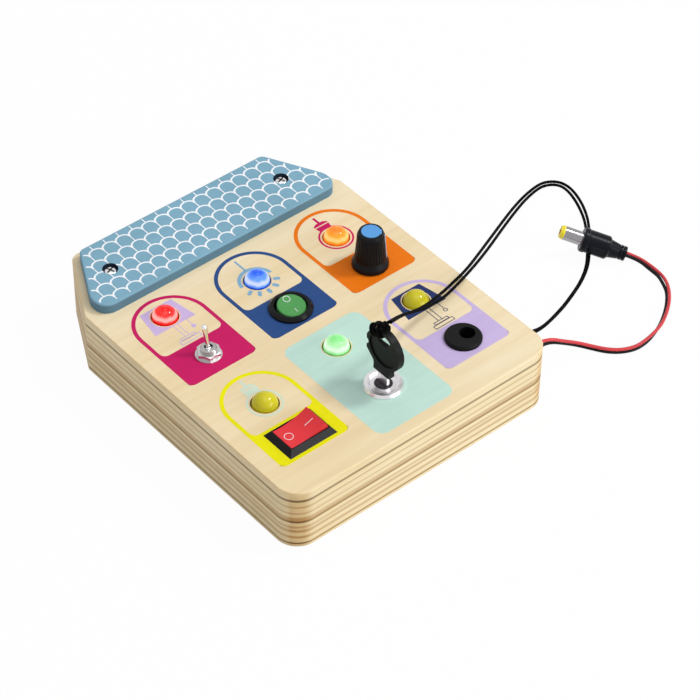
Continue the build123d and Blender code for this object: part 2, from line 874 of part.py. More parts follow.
# ---- Rectangular rocker -----------------------------------------------------------------------
bezel_base = Rectangle(rocker_bezel_x, rocker_bezel_y)
bezel_top = Rectangle(
    rocker_bezel_x - 2 * rocker_slope_inset, rocker_bezel_y - 2 * rocker_slope_inset
)
rocker_housing = loft([bezel_base, Pos(0, 0, rocker_bezel_height) * bezel_top])
rocker_housing += block(rocker_body_x, rocker_body_y, rocker_body_depth, z=-rocker_body_depth)
opening_height = rocker_bezel_height + rocker_pocket_depth
rocker_housing -= block(
    rocker_opening_x, rocker_opening_y, opening_height, z=-rocker_pocket_depth
)
pocket_height = rocker_pocket_depth + rocker_bezel_height - rocker_lip
rocker_housing -= block(
    rocker_pocket_x, rocker_opening_y, pocket_height, z=-rocker_pocket_depth
)
rocker_pin_hole = Rot(90, 0, 0) * Cylinder(
    rocker_pin_radius + pivot_clearance, rocker_pin_length + 2 * pin_end_gap
)
rocker_housing -= rocker_pin_hole
parts["rocker_housing"] = at(ROCKER_AT, deck_z) * rocker_housing

lip_corner = math.hypot(rocker_opening_x / 2, rocker_bezel_height - rocker_lip)
rocker_end_radius = lip_corner - rocker_end_clearance
rocker_cap_y = rocker_opening_y - 2 * rocker_side_clearance
upper_side = Pos(0, rocker_end_radius - rocker_cap_drop) * Rectangle(
    2 * rocker_end_radius, 2 * rocker_end_radius
)
cap_section = Circle(rocker_end_radius) & upper_side
cap_section -= Pos(0, rocker_valley_rise + rocker_valley_radius) * Circle(rocker_valley_radius)
rocker_cap = extrude(Plane.XZ * cap_section, rocker_cap_y / 2, both=True)
rocker_cap += Rot(90, 0, 0) * Cylinder(rocker_pin_radius, rocker_pin_length)
parts["rocker_cap"] = at(ROCKER_AT, deck_z) * Rot(0, -rocker_tilt, 0) * rocker_cap

# ---- Dimmer and its knob -----------------------------------------------------------------------
dimmer_base = panel_z - dimmer_body_height
pocket_floor = panel_z - shaft_below_panel
dimmer_body = post(dimmer_body_radius, dimmer_body_height, DIMMER_AT, dimmer_base)
dimmer_body -= post(shaft_radius + shaft_clearance, shaft_below_panel, DIMMER_AT, pocket_floor)
parts["dimmer_body"] = dimmer_body
bushing_height = panel_thickness + dimmer_bushing_rise
dimmer_bushing = post(dimmer_bushing_radius, bushing_height, DIMMER_AT, panel_z)
dimmer_bushing -= post(shaft_radius + shaft_clearance, bushing_height, DIMMER_AT, panel_z)
parts["dimmer_bushing"] = dimmer_bushing
parts["dimmer_nut"] = hexagon(
    dimmer_nut_across_flats, nut_height, dimmer_bushing_radius + thread_clearance, DIMMER_AT, deck_z
)

shaft_length = shaft_below_panel + panel_thickness + shaft_rise - 2 * pivot_clearance
shaft = post(shaft_radius, shaft_length, DIMMER_AT, pocket_floor + pivot_clearance)
parts["dimmer_shaft"] = shaft

knob = turned(
    (
        (knob_hollow_radius, knob_gap),
        (knob_skirt_radius, knob_gap),
        (knob_skirt_radius - 0.15, knob_skirt_height * 0.6),
        (knob_waist_radius, knob_skirt_height + knob_gap),
        (knob_top_radius, knob_body_height),
        (knob_rim_radius, knob_height),
        (0, knob_height),
        (0, knob_socket_height),
        (shaft_radius + pivot_clearance, knob_socket_height),
        (shaft_radius + pivot_clearance, knob_neck_height),
        (knob_neck_radius, knob_neck_height),
        (knob_neck_radius, knob_hollow_height),
        (knob_hollow_radius, knob_hollow_height),
    )
)
flute_bottom = knob_skirt_height + 1.2
flute_lean = math.degrees(
    math.atan2(knob_waist_radius - knob_top_radius, knob_body_height - knob_skirt_height - knob_gap)
)
flute = Pos(knob_waist_radius, 0, flute_bottom) * Rot(0, -flute_lean, 0) * Cylinder(
    flute_radius, knob_body_height - flute_bottom + 1.0, align=(Align.CENTER, Align.CENTER, Align.MIN)
)
for index in range(knob_flutes):
    knob -= Rot(0, 0, 360 * (index + 0.5) / knob_flutes) * flute


def pointer_shape(grow):
    """Round cap with a pointed tip along +X."""
    tip = Polyline(
        (0, -cap_pointer_half_width - grow),
        (cap_pointer_reach * 0.75, -cap_pointer_half_width - grow),
        (cap_pointer_reach + grow, 0),
        (cap_pointer_reach * 0.75, cap_pointer_half_width + grow),
        (0, cap_pointer_half_width + grow),
        close=True,
    )
    return Circle(cap_radius + grow) + make_face(tip)


cap_recess = extrude(pointer_shape(cap_clearance), cap_thickness)
knob -= Pos(0, 0, knob_height - cap_thickness) * cap_recess
knob_seat = at(DIMMER_AT, deck_z) * Rot(0, 0, knob_rest_angle)
parts["knob"] = knob_seat * knob
knob_cap = extrude(pointer_shape(0), cap_thickness)
knob_cap = fillet(knob_cap.edges().group_by(Axis.Z)[-1], 0.3)
parts["knob_cap"] = knob_seat * Pos(0, 0, knob_height - cap_thickness) * knob_cap

# ---- Key switch -------------------------------------------------------------------------------
barrel_bottom = -lock_barrel_depth
lock_barrel = turned(
    (
        (cylinder_radius + cylinder_clearance, barrel_bottom),
        (lock_barrel_radius, barrel_bottom),
        (lock_barrel_radius, 0),
        (lock_flange_radius, 0),
        (lock_flange_radius, 0.5),
        (lock_flange_top_radius, lock_flange_height),
        (lock_dish_radius, lock_flange_height),
        (lock_dish_radius - 0.9, lock_flange_height - lock_dish_depth),
        (cylinder_radius + cylinder_clearance, lock_flange_height - lock_dish_depth),
    )
)
parts["lock_barrel"] = at(LOCK_AT, deck_z) * lock_barrel
parts["lock_contact_block"] = post(
    lock_barrel_radius, lock_contact_height, LOCK_AT, deck_z + barrel_bottom - lock_contact_height
)
parts["lock_nut"] = hexagon(
    lock_nut_across_flats,
    lock_nut_height,
    lock_barrel_radius + thread_clearance,
    LOCK_AT,
    panel_z - lock_nut_height,
)
cylinder = post(cylinder_radius, cylinder_depth + cylinder_rise, z=-cylinder_depth)
cylinder = chamfer(cylinder.edges().group_by(Axis.Z)[-1], 0.3)
cylinder -= block(keyway_width, keyway_length, keyway_depth, z=cylinder_rise - keyway_depth)
parts["lock_cylinder"] = at(LOCK_AT, deck_z) * cylinder

# ---- Key: metal blade with its cuts, and the moulded head around its upper end -------------------
blade_bottom = cylinder_rise - keyway_depth + blade_tip_gap
blade_top = head_bottom + blade_in_head
blade_half = blade_width / 2
blade_outline = make_face(
    Polyline(
        (-blade_half, blade_top),
        (-blade_half, blade_bottom + 1.4),
        (-blade_half + 1.4, blade_bottom),
        (blade_half - 1.4, blade_bottom),
        (blade_half, blade_bottom + 1.4),
        (blade_half, blade_top),
        close=True,
    )
)
for index in range(blade_cuts):
    cut_z = blade_bottom + blade_first_cut + index * blade_cut_pitch
    notch = Polyline(
        (blade_half + 0.2, cut_z - blade_cut_depth),
        (blade_half - blade_cut_depth, cut_z),
        (blade_half + 0.2, cut_z + blade_cut_depth),
        close=True,
    )
    blade_outline -= make_face(notch)
key_blade = extrude(Plane.YZ * blade_outline, blade_thickness / 2, both=True)
parts["key_blade"] = at(LOCK_AT, deck_z) * key_blade

bow = Pos(bow_offset, bow_rise) * Circle(bow_radius)
neck = Polyline(
    (-neck_half_width, head_bottom),
    (neck_half_width, head_bottom),
    (neck_half_width, head_bottom + neck_height),
    (shoulder_reach, shoulder_low),
    (shoulder_reach, shoulder_high),
    (0, bow_rise + 2),
    (-neck_half_width - 1.6, head_bottom + neck_height + 1.6),
    (-neck_half_width, head_bottom + neck_height - 0.6),
    close=True,
)
head_outline = bow + make_face(neck)
head_outline -= Pos(shoulder_reach + 0.5, notch_rise) * Circle(notch_radius)
lanyard_slot = Pos(0, lanyard_slot_rise) * SlotOverall(lanyard_slot_length, lanyard_slot_height)
key_head = extrude(Plane.YZ * head_outline, bow_thickness / 2, both=True)
recess_outline = Pos(bow_offset, bow_rise) * Circle(bow_radius - bow_rim)
for side in (-1, 1):
    face_plane = Plane.YZ.offset(side * (bow_thickness / 2 - bow_recess))
    key_head -= extrude(face_plane * recess_outline, side * bow_recess)
key_head -= extrude(Plane.YZ * lanyard_slot, bow_thickness, both=True)
socket_height = blade_in_head + pivot_clearance
key_head -= block(
    blade_thickness + 2 * pivot_clearance, blade_width + 2 * pivot_clearance, socket_height, z=head_bottom
)
parts["key_head"] = at(LOCK_AT, deck_z) * key_head

# ---- Lanyard's hitch on the key, its knot, and the stop knot behind the wall ---------------------
hitch = []
bar_radius = bow_radius - bow_rim / 2
for angle in hitch_angles:
    loop = Rot(0, 90, 0) * Torus(hitch_loop_radius, hitch_cord_radius)
    seat = Pos(0, bow_offset, bow_rise) * Rot(-angle, 0, 0) * Pos(0, 0, bar_radius)
    hitch.append(at(LOCK_AT, deck_z) * seat * Rot(0, 0, 90) * loop)
parts["lanyard_hitch"] = hitch
knot_half = knot_height / 2
knot = turned(
    (
        (0, -knot_half),
        (knot_radius * 0.6, -knot_half),
        (knot_radius, -knot_half * 0.4),
        (knot_radius, knot_half * 0.4),
        (knot_radius * 0.6, knot_half),
        (0, knot_half),
    )
)
parts["lanyard_knot"] = at(LOCK_AT, deck_z + knot_rise) * knot
stop_place = (cavity_side - stop_knot_radius - cord_gap, lanyard_hole_y)
parts["lanyard_stop_knot"] = at(stop_place, lanyard_hole_z) * Sphere(stop_knot_radius)

# ---- Socket -----------------------------------------------------------------------------------
socket = turned(
    (
        (0, -socket_depth),
        (socket_barrel_radius, -socket_depth),
        (socket_barrel_radius, 0),
        (socket_flange_radius, 0),
        (socket_flange_radius, socket_flange_height * 0.6),
        (socket_flange_radius - 0.6, socket_flange_height),
        (0, socket_flange_height),
    )
)
bore_place = (socket_bore_offset, 0)
bore_length = socket_bore_depth + socket_flange_height
socket -= post(socket_bore_radius, bore_length, bore_place, -socket_bore_depth)
parts["socket_housing"] = at(SOCKET_AT, deck_z) * socket
parts["socket_nut"] = hexagon(
    socket_nut_across_flats,
    socket_nut_height,
    socket_barrel_radius + thread_clearance,
    SOCKET_AT,
    panel_z - socket_nut_height,
)
pin = post(socket_pin_radius, socket_pin_length, bore_place, -socket_bore_depth)
parts["socket_pin"] = at(SOCKET_AT, deck_z) * chamfer(pin.edges().group_by(Axis.Z)[-1], 0.35)
leaf = block(0.4, 2.0, socket_spring_length, z=-socket_bore_depth)
leaf_x = socket_bore_offset - socket_bore_radius + 0.35
parts["socket_spring"] = at(SOCKET_AT, deck_z) * Pos(leaf_x, 0, 0) * leaf

# ---- Solder tabs and the wires between them ------------------------------------------------------
tabs = []
for place, base_z in CONTROLS:
    common_spot = (place[0] - tab_offset, place[1])
    lamp_spot = (place[0] + tab_offset, place[1])
    common_length = base_z - common_tab_bottom
    lamp_length = base_z - lamp_tab_bottom
    tabs.append(block(tab_thickness, tab_width, common_length, common_spot, common_tab_bottom))
    tabs.append(block(tab_thickness, tab_width, lamp_length, lamp_spot, lamp_tab_bottom))
parts["solder_tabs"] = tabs


def straight_wire(start, end):
    """Straight insulated wire between two points."""
    along = Vector(*end) - Vector(*start)
    section = Plane(origin=start, z_dir=along) * Circle(wire_radius)
    return extrude(section, along.length, dir=along.normalized())


lamp_wires = []
control_places = [place for place, base_z in CONTROLS]
for place, lamp_name in zip(control_places, LAMPS):
    lamp_place = LAMPS[lamp_name]
    lead_x = lamp_place[0] + lead_pitch / 2
    path = FilletPolyline(
        (lead_x, lamp_place[1], lead_bottom),
        (lead_x, lamp_place[1], lamp_wire_z),
        (place[0] + tab_offset, place[1] + tab_width / 2 + solder_gap, lamp_wire_z),
        radius=2.0,
    )
    section = Plane(origin=path @ 0, z_dir=path % 0) * Circle(wire_radius)
    lamp_wires.append(sweep(section, path=path))
parts["lamp_wires"] = lamp_wires

# Red supply wires join the lamps' other leads, black ones join the switches' common tabs
supply = []
reach = lead_width / 2 + wire_radius + solder_gap
free_lead = {name: (place[0] - lead_pitch / 2, place[1]) for name, place in LAMPS.items()}
for left, right in (
    ("lamp_red", "lamp_blue"),
    ("lamp_blue", "lamp_orange"),
    ("lamp_yellow_left", "lamp_green"),
    ("lamp_green", "lamp_yellow_right"),
):
    side = 1 if free_lead[right][1] > free_lead[left][1] else -1
    start = (free_lead[left][0], free_lead[left][1] + side * reach, supply_wire_z)
    end = (free_lead[right][0], free_lead[right][1] + side * reach, supply_wire_z)
    supply.append(straight_wire(start, end))
common = []
for left, right in ((0, 1), (1, 2), (3, 4), (4, 5)):
    start_x = control_places[left][0] - tab_offset + tab_thickness / 2 + solder_gap
    end_x = control_places[right][0] - tab_offset - tab_thickness / 2 - solder_gap
    row = control_places[left][1]
    common.append(straight_wire((start_x, row, common_wire_z), (end_x, row, common_wire_z)))
side_x = -column_pitch - tab_offset
link_reach = tab_width / 2 + solder_gap
row_link_start = (side_x, upper_row - link_reach, common_wire_z)
row_link_end = (side_x, lower_row + link_reach, common_wire_z)
common.append(straight_wire(row_link_start, row_link_end))

# Leads from the battery, and to the two wires that go out to the plug
tray_face = tray_y - tray_depth / 2 - wire_radius
blue_lead = free_lead["lamp_blue"]
supply.append(
    straight_wire(
        (blue_lead[0], tray_face, battery_lead_z),
        (blue_lead[0], blue_lead[1] + reach, supply_wire_z),
    )
)
common.append(
    straight_wire(
        (battery_lead_x, tray_face, common_wire_z + 2 * wire_radius),
        (side_x + reach, upper_row + link_reach + wire_radius, common_wire_z),
    )
)
yellow_lead = free_lead["lamp_yellow_right"]
red_x, red_y, red_z = red_route[0]
supply.append(
    straight_wire(
        (yellow_lead[0], yellow_lead[1] - reach, supply_wire_z),
        (red_x, red_y + lead_diameter / 2 + solder_gap, red_z),
    )
)
black_x, black_y, black_z = black_route[0]
common.append(
    straight_wire(
        (LOCK_AT[0] - tab_offset, LOCK_AT[1] - link_reach - wire_radius, common_wire_z),
        (black_x - splice_gap, black_y, black_z),
    )
)
parts["supply_wires"] = supply + common

# ---- Plug, lying with its body on the lanyard -----------------------------------------------------
plug_plane = Location(plug_tail) * Rot(0, 0, plug_heading) * Rot(0, -plug_lift, 0)


def along_plug(solid, distance):
    """Place a solid turned about Z so that it lies along the plug from its tail."""
    return plug_plane * Pos(distance, 0, 0) * Rot(0, 90, 0) * solid


relief_profile = [(0, 0)]
ring_pitch = (relief_length - relief_neck_length) / relief_rings
groove_radius = relief_end_radius - relief_groove_depth
for index in range(relief_rings):
    ring_start = index * ring_pitch
    ring_end = ring_start + ring_pitch - relief_groove_width
    relief_profile.append((relief_end_radius, ring_start))
    relief_profile.append((relief_end_radius, ring_end))
    relief_profile.append((groove_radius, ring_end))
    relief_profile.append((groove_radius, ring_start + ring_pitch))
relief_profile.append((relief_end_radius, relief_length - relief_neck_length))
relief_profile.append((relief_neck_radius, relief_length))
relief_profile.append((0, relief_length))
relief = turned(relief_profile)
plug_body = turned(
    (
        (0, 0),
        (plug_body_radius - 0.8, 0),
        (plug_body_radius, 0.8),
        (plug_body_radius, plug_body_length - plug_rim_length - 0.4),
        (plug_rim_radius, plug_body_length - plug_rim_length),
        (plug_rim_radius, plug_body_length - 0.5),
        (plug_rim_radius - 0.5, plug_body_length),
        (0, plug_body_length),
    )
)
flat_length = plug_body_length - plug_rim_length - 2.4
for side in (-1, 1):
    flat = block(2 * plug_body_radius, 2.0, flat_length, (0, side * (plug_grip_flat + 1.0)), 1.4)
    plug_body -= flat
parts["plug_body"] = along_plug(plug_body, relief_length)
parts["plug_strain_relief"] = along_plug(relief, 0)
barrel_start = relief_length + plug_body_length
barrel = post(plug_barrel_radius, plug_barrel_length - plug_tip_length)
barrel -= post(plug_bore_radius, plug_barrel_length)
parts["plug_barrel"] = along_plug(barrel, barrel_start)
tip = turned(
    (
        (plug_bore_radius, 0),
        (plug_barrel_radius, 0),
        (plug_barrel_radius, 0.5),
        (plug_tip_radius, plug_tip_length),
        (plug_bore_radius, plug_tip_length),
    )
)
parts["plug_tip"] = along_plug(tip, barrel_start + plug_barrel_length - plug_tip_length)

# ---- Free cords: straight runs joined by tangent arcs ---------------------------------------------
def cord(name, route, diameter):
    """Tube along the route, each corner as round as its two runs allow."""
    points = [Vector(*point) for point in route]
    radii = []
    for before, corner, after in zip(points, points[1:], points[2:]):
        arriving = corner - before
        leaving = after - corner
        half_turn = math.radians(arriving.get_angle(leaving)) / 2
        shorter = min(arriving.length, leaving.length)
        radii.append(0.45 * shorter / math.tan(half_turn))
    path = FilletPolyline(*points, radius=radii)
    section = Plane(origin=path @ 0, z_dir=path % 0) * Circle(diameter / 2)
    tube = sweep(section, path=path)
    expected = math.pi * diameter**2 / 4 * path.length
    print(name, "length", round(path.length, 1), "volume ratio", round(tube.volume / expected, 4))
    print("  radii", [round(radius, 1) for radius in radii])
    return tube


parts["lanyard_strand_a"] = cord("lanyard_strand_a", lanyard_a_route, lanyard_diameter)
parts["lanyard_strand_b"] = cord("lanyard_strand_b", lanyard_b_route, lanyard_diameter)
parts["red_wire"] = cord("red_wire", red_route, lead_diameter)
parts["black_wire"] = cord("black_wire", black_route, lead_diameter)

# ---- Write one file for each piece or group of like pieces ----------------------------------------
os.makedirs("parts", exist_ok=True)
for name, shape in parts.items():
    solids = shape if isinstance(shape, list) else [shape]
    group = []
    for solid in solids:
        group.extend(solid.solids())
    export_step(Compound(children=group) if len(group) > 1 else group[0], f"parts/{name}.step")
print(len(parts), "nodes")
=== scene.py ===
import math

import bmesh
import bpy
from mathutils import Matrix, Vector


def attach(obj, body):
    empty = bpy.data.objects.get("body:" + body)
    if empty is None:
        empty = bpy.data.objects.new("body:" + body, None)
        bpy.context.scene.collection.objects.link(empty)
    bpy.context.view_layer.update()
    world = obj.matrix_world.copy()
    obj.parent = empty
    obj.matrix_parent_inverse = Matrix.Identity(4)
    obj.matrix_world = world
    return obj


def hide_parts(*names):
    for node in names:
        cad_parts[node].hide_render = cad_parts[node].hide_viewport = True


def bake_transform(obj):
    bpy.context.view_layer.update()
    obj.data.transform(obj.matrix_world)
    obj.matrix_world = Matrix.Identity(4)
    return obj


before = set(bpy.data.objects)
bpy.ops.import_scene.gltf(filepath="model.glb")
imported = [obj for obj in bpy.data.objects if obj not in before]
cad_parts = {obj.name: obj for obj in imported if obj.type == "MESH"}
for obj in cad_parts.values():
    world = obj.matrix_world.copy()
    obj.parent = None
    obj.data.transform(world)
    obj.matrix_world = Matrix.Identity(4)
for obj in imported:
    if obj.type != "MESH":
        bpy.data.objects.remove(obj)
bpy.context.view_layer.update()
bpy.ops.object.select_all(action="DESELECT")

# ---- Camera ------------------------------------------------------------------------------------
# A long lens, high on the board's front left. Its place and turn are in the board's own frame.
MM = 0.001
camera_azimuth = math.radians(-40.755)
camera_elevation = math.radians(43.700)
camera_roll = math.radians(0.862)
camera_place = Vector((-461.42, -567.87, 705.27)) * MM

bpy.ops.object.camera_add(location=camera_place)
camera = bpy.context.object
camera.data.lens = 141.96
camera.data.sensor_width = 36
camera.data.clip_start = 0.05
camera.data.clip_end = 20
camera_turn = (
    Matrix.Rotation(camera_azimuth, 4, "Z")
    @ Matrix.Rotation(math.radians(90) - camera_elevation, 4, "X")
    @ Matrix.Rotation(camera_roll, 4, "Z")
)
camera.matrix_world = Matrix.Translation(camera_place) @ camera_turn
bpy.context.scene.camera = camera


# ---- Lanyard -----------------------------------------------------------------------------------
# Two strands of a thin black polyester braid. They leave the knot at the key, run over the
# board's right edge, lie on the table and go back through a hole in the wall to a stop knot.
lanyard_diameter = 1.15 * MM
lanyard_low = 0.595
lanyard_hole_z = 9.0
lanyard_end_x = 51.95
lanyard_edge = (52.2, -28.6, 29.1)
strand_steps = 24
braid_sides = 14
braid_carriers = 4
braid_pitch = 2.6 * MM
braid_depth = 0.07
braid_waves_round = 5.0265
braid_waves_along = 1.005
braid_relief = 0.08 * MM

lanyard_a_route = (
    (2.10, -49.85, 54.5),
    (12.2, -44.2, 47.6),
    (19.6, -42.0, 43.2),
    (28.1, -39.0, 38.5),
    (37.9, -34.4, 33.5),
    (46.7, -30.5, 30.0),
    lanyard_edge,
    (62.1, -25.0, 27.2),
    (76.4, -16.1, 20.5),
    (91.7, -6.4, 13.3),
    (106.6, 2.7, 7.1),
    (119.7, 9.8, 3.1),
    (129.9, 13.9, 1.26),
    (138.9, 15.7, lanyard_low),
    (143.2, 14.2, lanyard_low),
    (146.2, 10.9, lanyard_low),
    (146.7, 5.7, lanyard_low),
    (144.6, -1.5, lanyard_low),
    (141.5, -7.9, lanyard_low),
    (137.1, -14.3, 0.95),
    (130.6, -21.3, 1.88),
    (125.2, -27.1, 1.8),
    (118.9, -32.8, 1.67),
    (111.0, -37.5, 1.71),
    (102.1, -41.2, 1.75),
    (94.2, -44.3, 2.26),
    (79.6, -49.6, 5.5),
    (71.2, -51.5, 8.6),
    (60.80, -51.25, lanyard_hole_z),
    (lanyard_end_x, -51.25, lanyard_hole_z),
)
lanyard_b_route = (
    (2.40, -50.90, 55.1),
    (12.8, -45.0, 48.2),
    (20.2, -42.8, 43.8),
    (28.3, -40.0, 38.7),
    (36.7, -35.7, 32.9),
    (44.6, -32.8, 29.8),
    (49.9, -31.2, 29.2),
    (60.2, -27.1, 27.2),
    (73.7, -19.0, 20.5),
    (88.8, -9.6, 13.3),
    (103.8, -0.3, 7.1),
    (117.1, 7.0, 3.1),
    (127.9, 11.8, 1.26),
    (137.4, 14.1, lanyard_low),
    (141.9, 12.8, lanyard_low),
    (144.6, 9.8, lanyard_low),
    (144.7, 5.2, lanyard_low),
    (142.8, -1.1, lanyard_low),
    (139.5, -8.2, lanyard_low),
    (136.0, -13.7, lanyard_low),
    (131.0, -19.6, lanyard_low),
    (125.6, -25.7, lanyard_low),
    (119.2, -31.7, lanyard_low),
    (111.6, -36.4, lanyard_low),
    (102.7, -40.1, lanyard_low),
    (95.3, -42.9, 0.88),
    (80.7, -48.2, 3.8),
    (71.1, -50.0, 8.4),
    (60.80, -50.0, lanyard_hole_z),
    (lanyard_end_x, -50.0, lanyard_hole_z),
)


def smooth_line(name, route, steps):
    """NURBS curve with a route's points, given in millimetres, as its control points."""
    curve = bpy.data.curves.new(name, "CURVE")
    curve.dimensions = "3D"
    curve.resolution_u = steps
    spline = curve.splines.new("NURBS")
    spline.points.add(len(route) - 1)
    for point, place in zip(spline.points, route):
        point.co = (*(Vector(place) * MM), 1)
    spline.order_u = 3
    spline.use_endpoint_u = True
    line = bpy.data.objects.new(name, curve)
    bpy.context.scene.collection.objects.link(line)
    return line


def points_along(line):
    """The points of a curve that has no bevel, in order."""
    bpy.context.view_layer.update()
    mesh = bpy.data.meshes.new_from_object(line)
    points = [vertex.co.copy() for vertex in mesh.vertices]
    bpy.data.meshes.remove(mesh)
    return points


def braided_tube(name, route, steps):
    """Round braid along a route: a tube whose skin rises where one carrier lies on another."""
    line = smooth_line(name + "_line", route, steps)
    path = points_along(line)
    bpy.data.objects.remove(line)
    shape = bmesh.new()
    wrap = shape.loops.layers.uv.new("wrap")
    rings = []
    travelled = 0.0
    along = (path[1] - path[0]).normalized()
    across = along.orthogonal().normalized()
    for index, point in enumerate(path):
        before = path[max(index - 1, 0)]
        after = path[min(index + 1, len(path) - 1)]
        travelled += (point - before).length
        heading = (after - before).normalized()
        across = (across - heading * across.dot(heading)).normalized()
        beside = heading.cross(across)
        ring = []
        for side in range(braid_sides):
            angle = 2 * math.pi * side / braid_sides
            twist = 2 * math.pi * travelled / braid_pitch
            left = math.cos(braid_carriers / 2 * angle + twist)
            right = math.cos(braid_carriers / 2 * angle - twist)
            swell = 1 - braid_depth + braid_depth * max(abs(left), abs(right))
            reach = lanyard_diameter / 2 * swell
            offset = across * math.cos(angle) * reach + beside * math.sin(angle) * reach
            ring.append(shape.verts.new(point + offset))
        rings.append((ring, travelled))
    for (first, start), (second, end) in zip(rings, rings[1:]):
        for side in range(braid_sides):
            following = (side + 1) % braid_sides
            quad = (first[side], first[following], second[following], second[side])
            face = shape.faces.new(quad)
            face.smooth = True
            low = side / braid_sides
            high = (side + 1) / braid_sides
            corners = ((low, start), (high, start), (high, end), (low, end))
            for loop, (u, v) in zip(face.loops, corners):
                loop[wrap].uv = (u, v / MM)
    shape.faces.new(reversed(rings[0][0]))
    shape.faces.new(rings[-1][0])
    mesh = bpy.data.meshes.new(name)
    shape.to_mesh(mesh)
    shape.free()
    tube = bpy.data.objects.new(name, mesh)
    bpy.context.scene.collection.objects.link(tube)
    return tube, path


def shade(red, green, blue):
    """Scene colour from the three numbers of a paint chart, each from 0 to 255."""
    linear = []
    for value in (red, green, blue):
        value /= 255
        linear.append(value / 12.92 if value <= 0.04045 else ((value + 0.055) / 1.055) ** 2.4)
    return (*linear, 1)


def new_finish(name, **settings):
    """New node material with its shader, with the shader's settings given by input name."""
    finish = bpy.data.materials.new(name)
    finish.use_nodes = True
    tree = finish.node_tree
    shader = tree.nodes["Principled BSDF"]
    for key, value in settings.items():
        shader.inputs[key.replace("_", " ")].default_value = value
    return finish, tree, shader


def add_node(tree, kind, *feeds, out=0, **settings):
    """New node's output. Feeds are sockets or values for its inputs, in order."""
    node = tree.nodes.new("ShaderNode" + kind)
    for key, value in settings.items():
        if hasattr(node, key):
            setattr(node, key, value)
        else:
            node.inputs[key.replace("_", " ")].default_value = value
    for entry, feed in zip(node.inputs, feeds):
        if isinstance(feed, bpy.types.NodeSocket):
            tree.links.new(feed, entry)
        else:
            entry.default_value = feed
    return node.outputs[out]


def blended(tree, share, first, second, way="MIX"):
    """Colour mix of two colours or sockets by a share that is a number or a socket."""
    node = tree.nodes.new("ShaderNodeMix")
    node.data_type = "RGBA"
    node.blend_type = way
    for index, value in ((0, share), (6, first), (7, second)):
        if isinstance(value, bpy.types.NodeSocket):
            tree.links.new(value, node.inputs[index])
        else:
            node.inputs[index].default_value = value
    return node.outputs[2]


def stepped(tree, value, *stops, smooth="LINEAR"):
    """Colour ramp over a socket, with (place, colour) stops. A grey needs only its number."""
    node = tree.nodes.new("ShaderNodeValToRGB")
    node.color_ramp.interpolation = smooth
    elements = node.color_ramp.elements
    while len(elements) < len(stops):
        elements.new(0.5)
    for element, (place, colour) in zip(elements, stops):
        element.position = place
        element.color = shade(colour, colour, colour) if isinstance(colour, int) else colour
    tree.links.new(value, node.inputs["Fac"])
    return node.outputs["Color"]


def raised(tree, shader, height, distance):
    """Bump from a socket's height."""
    bump = add_node(tree, "Bump", Strength=1.0, Distance=distance)
    tree.links.new(height, bump.node.inputs["Height"])
    tree.links.new(bump, shader.inputs["Normal"])


def braid_finish():
    """Black polyester braid: carriers that cross on the cord's own wrap, lighter on their crests
    and with pale flecks, both painted highlights.
    """
    finish, tree, shader = new_finish("black_braid", Roughness=0.75, Specular_IOR_Level=0.04)
    wrap = add_node(tree, "UVMap", uv_map="wrap")
    waves = []
    for lean in (1, -1):
        scale = (lean * braid_waves_round, braid_waves_along, 1)
        place = add_node(tree, "Mapping", wrap, Scale=scale)
        bands = {"wave_type": "BANDS", "bands_direction": "DIAGONAL", "Scale": 1.0}
        waves.append(add_node(tree, "TexWave", place, out="Fac", **bands))
    weave = add_node(tree, "Math", *waves, operation="MAXIMUM")
    # Pale spots that stand for glints on the fibres: painted highlights
    glint_cells = add_node(tree, "TexVoronoi", wrap, Scale=3.0)
    # Black thread, lighter where the carriers crest: painted highlight on the weave
    thread_tone_and_sheen = stepped(tree, weave, (0.3, 2), (0.8, shade(7, 7, 8)), (1, shade(20, 20, 22)))
    pale = stepped(tree, glint_cells, (0.0, 255), (0.16, 0))
    colour = blended(tree, pale, thread_tone_and_sheen, shade(110, 110, 112))
    tree.links.new(colour, shader.inputs["Base Color"])
    raised(tree, shader, weave, braid_relief)
    return finish


black_braid = braid_finish()
# Name, route, the strand it stands for, and its length in metres
lanyards = (
    ("lanyard_braid_a", lanyard_a_route, "lanyard_strand_a", 0.2965),
    ("lanyard_braid_b", lanyard_b_route, "lanyard_strand_b", 0.2923),
)
for name, route, node, length in lanyards:
    strand, path = braided_tube(name, route, strand_steps)
    strand.data.materials.append(black_braid)
    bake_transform(strand)
    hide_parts(node)

# ---- Lanyard's hitch and knots -----------------------------------------------------------------
# The same braid: three turns round the upper bar of the key's bow, an overhand knot above them,
# and a second knot behind the wall that keeps the ends in.
hitch_middle = (-51.3, 44.2)
hitch_bar_radius = 7.75
hitch_turn_radius = 2.5
hitch_turns = 3
hitch_angles = (4, 42)
hitch_points = 25
hitch_start = (0.6, -49.3, 54.0)
hitch_end = (-0.6, -49.3, 54.4)
# Name, the knot it stands for, body, middle and size
knot_places = (
    ("lanyard_key_knot", "lanyard_knot", "tether", (0, -50.7, 54.8), 0.4),
    ("lanyard_end_knot", "lanyard_stop_knot", "root", (49.7, -50.6, 9.0), 0.5),
)
knot_points = 22
knot_steps = 8


def tied(name, node, body, route):
    """Tied part of the lanyard, fixed to a body in place of a carried-over piece."""
    piece = braided_tube(name, route, knot_steps)[0]
    piece.data.materials.append(black_braid)
    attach(piece, body)
    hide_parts(node)


hitch_route = [hitch_start]
for step in range(hitch_points):
    share = step / (hitch_points - 1)
    lean = math.radians(hitch_angles[0] + share * (hitch_angles[1] - hitch_angles[0]))
    turn = share * hitch_turns * 2 * math.pi
    reach = hitch_bar_radius + hitch_turn_radius * math.cos(turn)
    hitch_route.append(
        (
            hitch_turn_radius * math.sin(turn),
            hitch_middle[0] + reach * math.sin(lean),
            hitch_middle[1] + reach * math.cos(lean),
        )
    )
hitch_route.append(hitch_end)
tied("lanyard_key_hitch", "lanyard_hitch", "key", hitch_route)

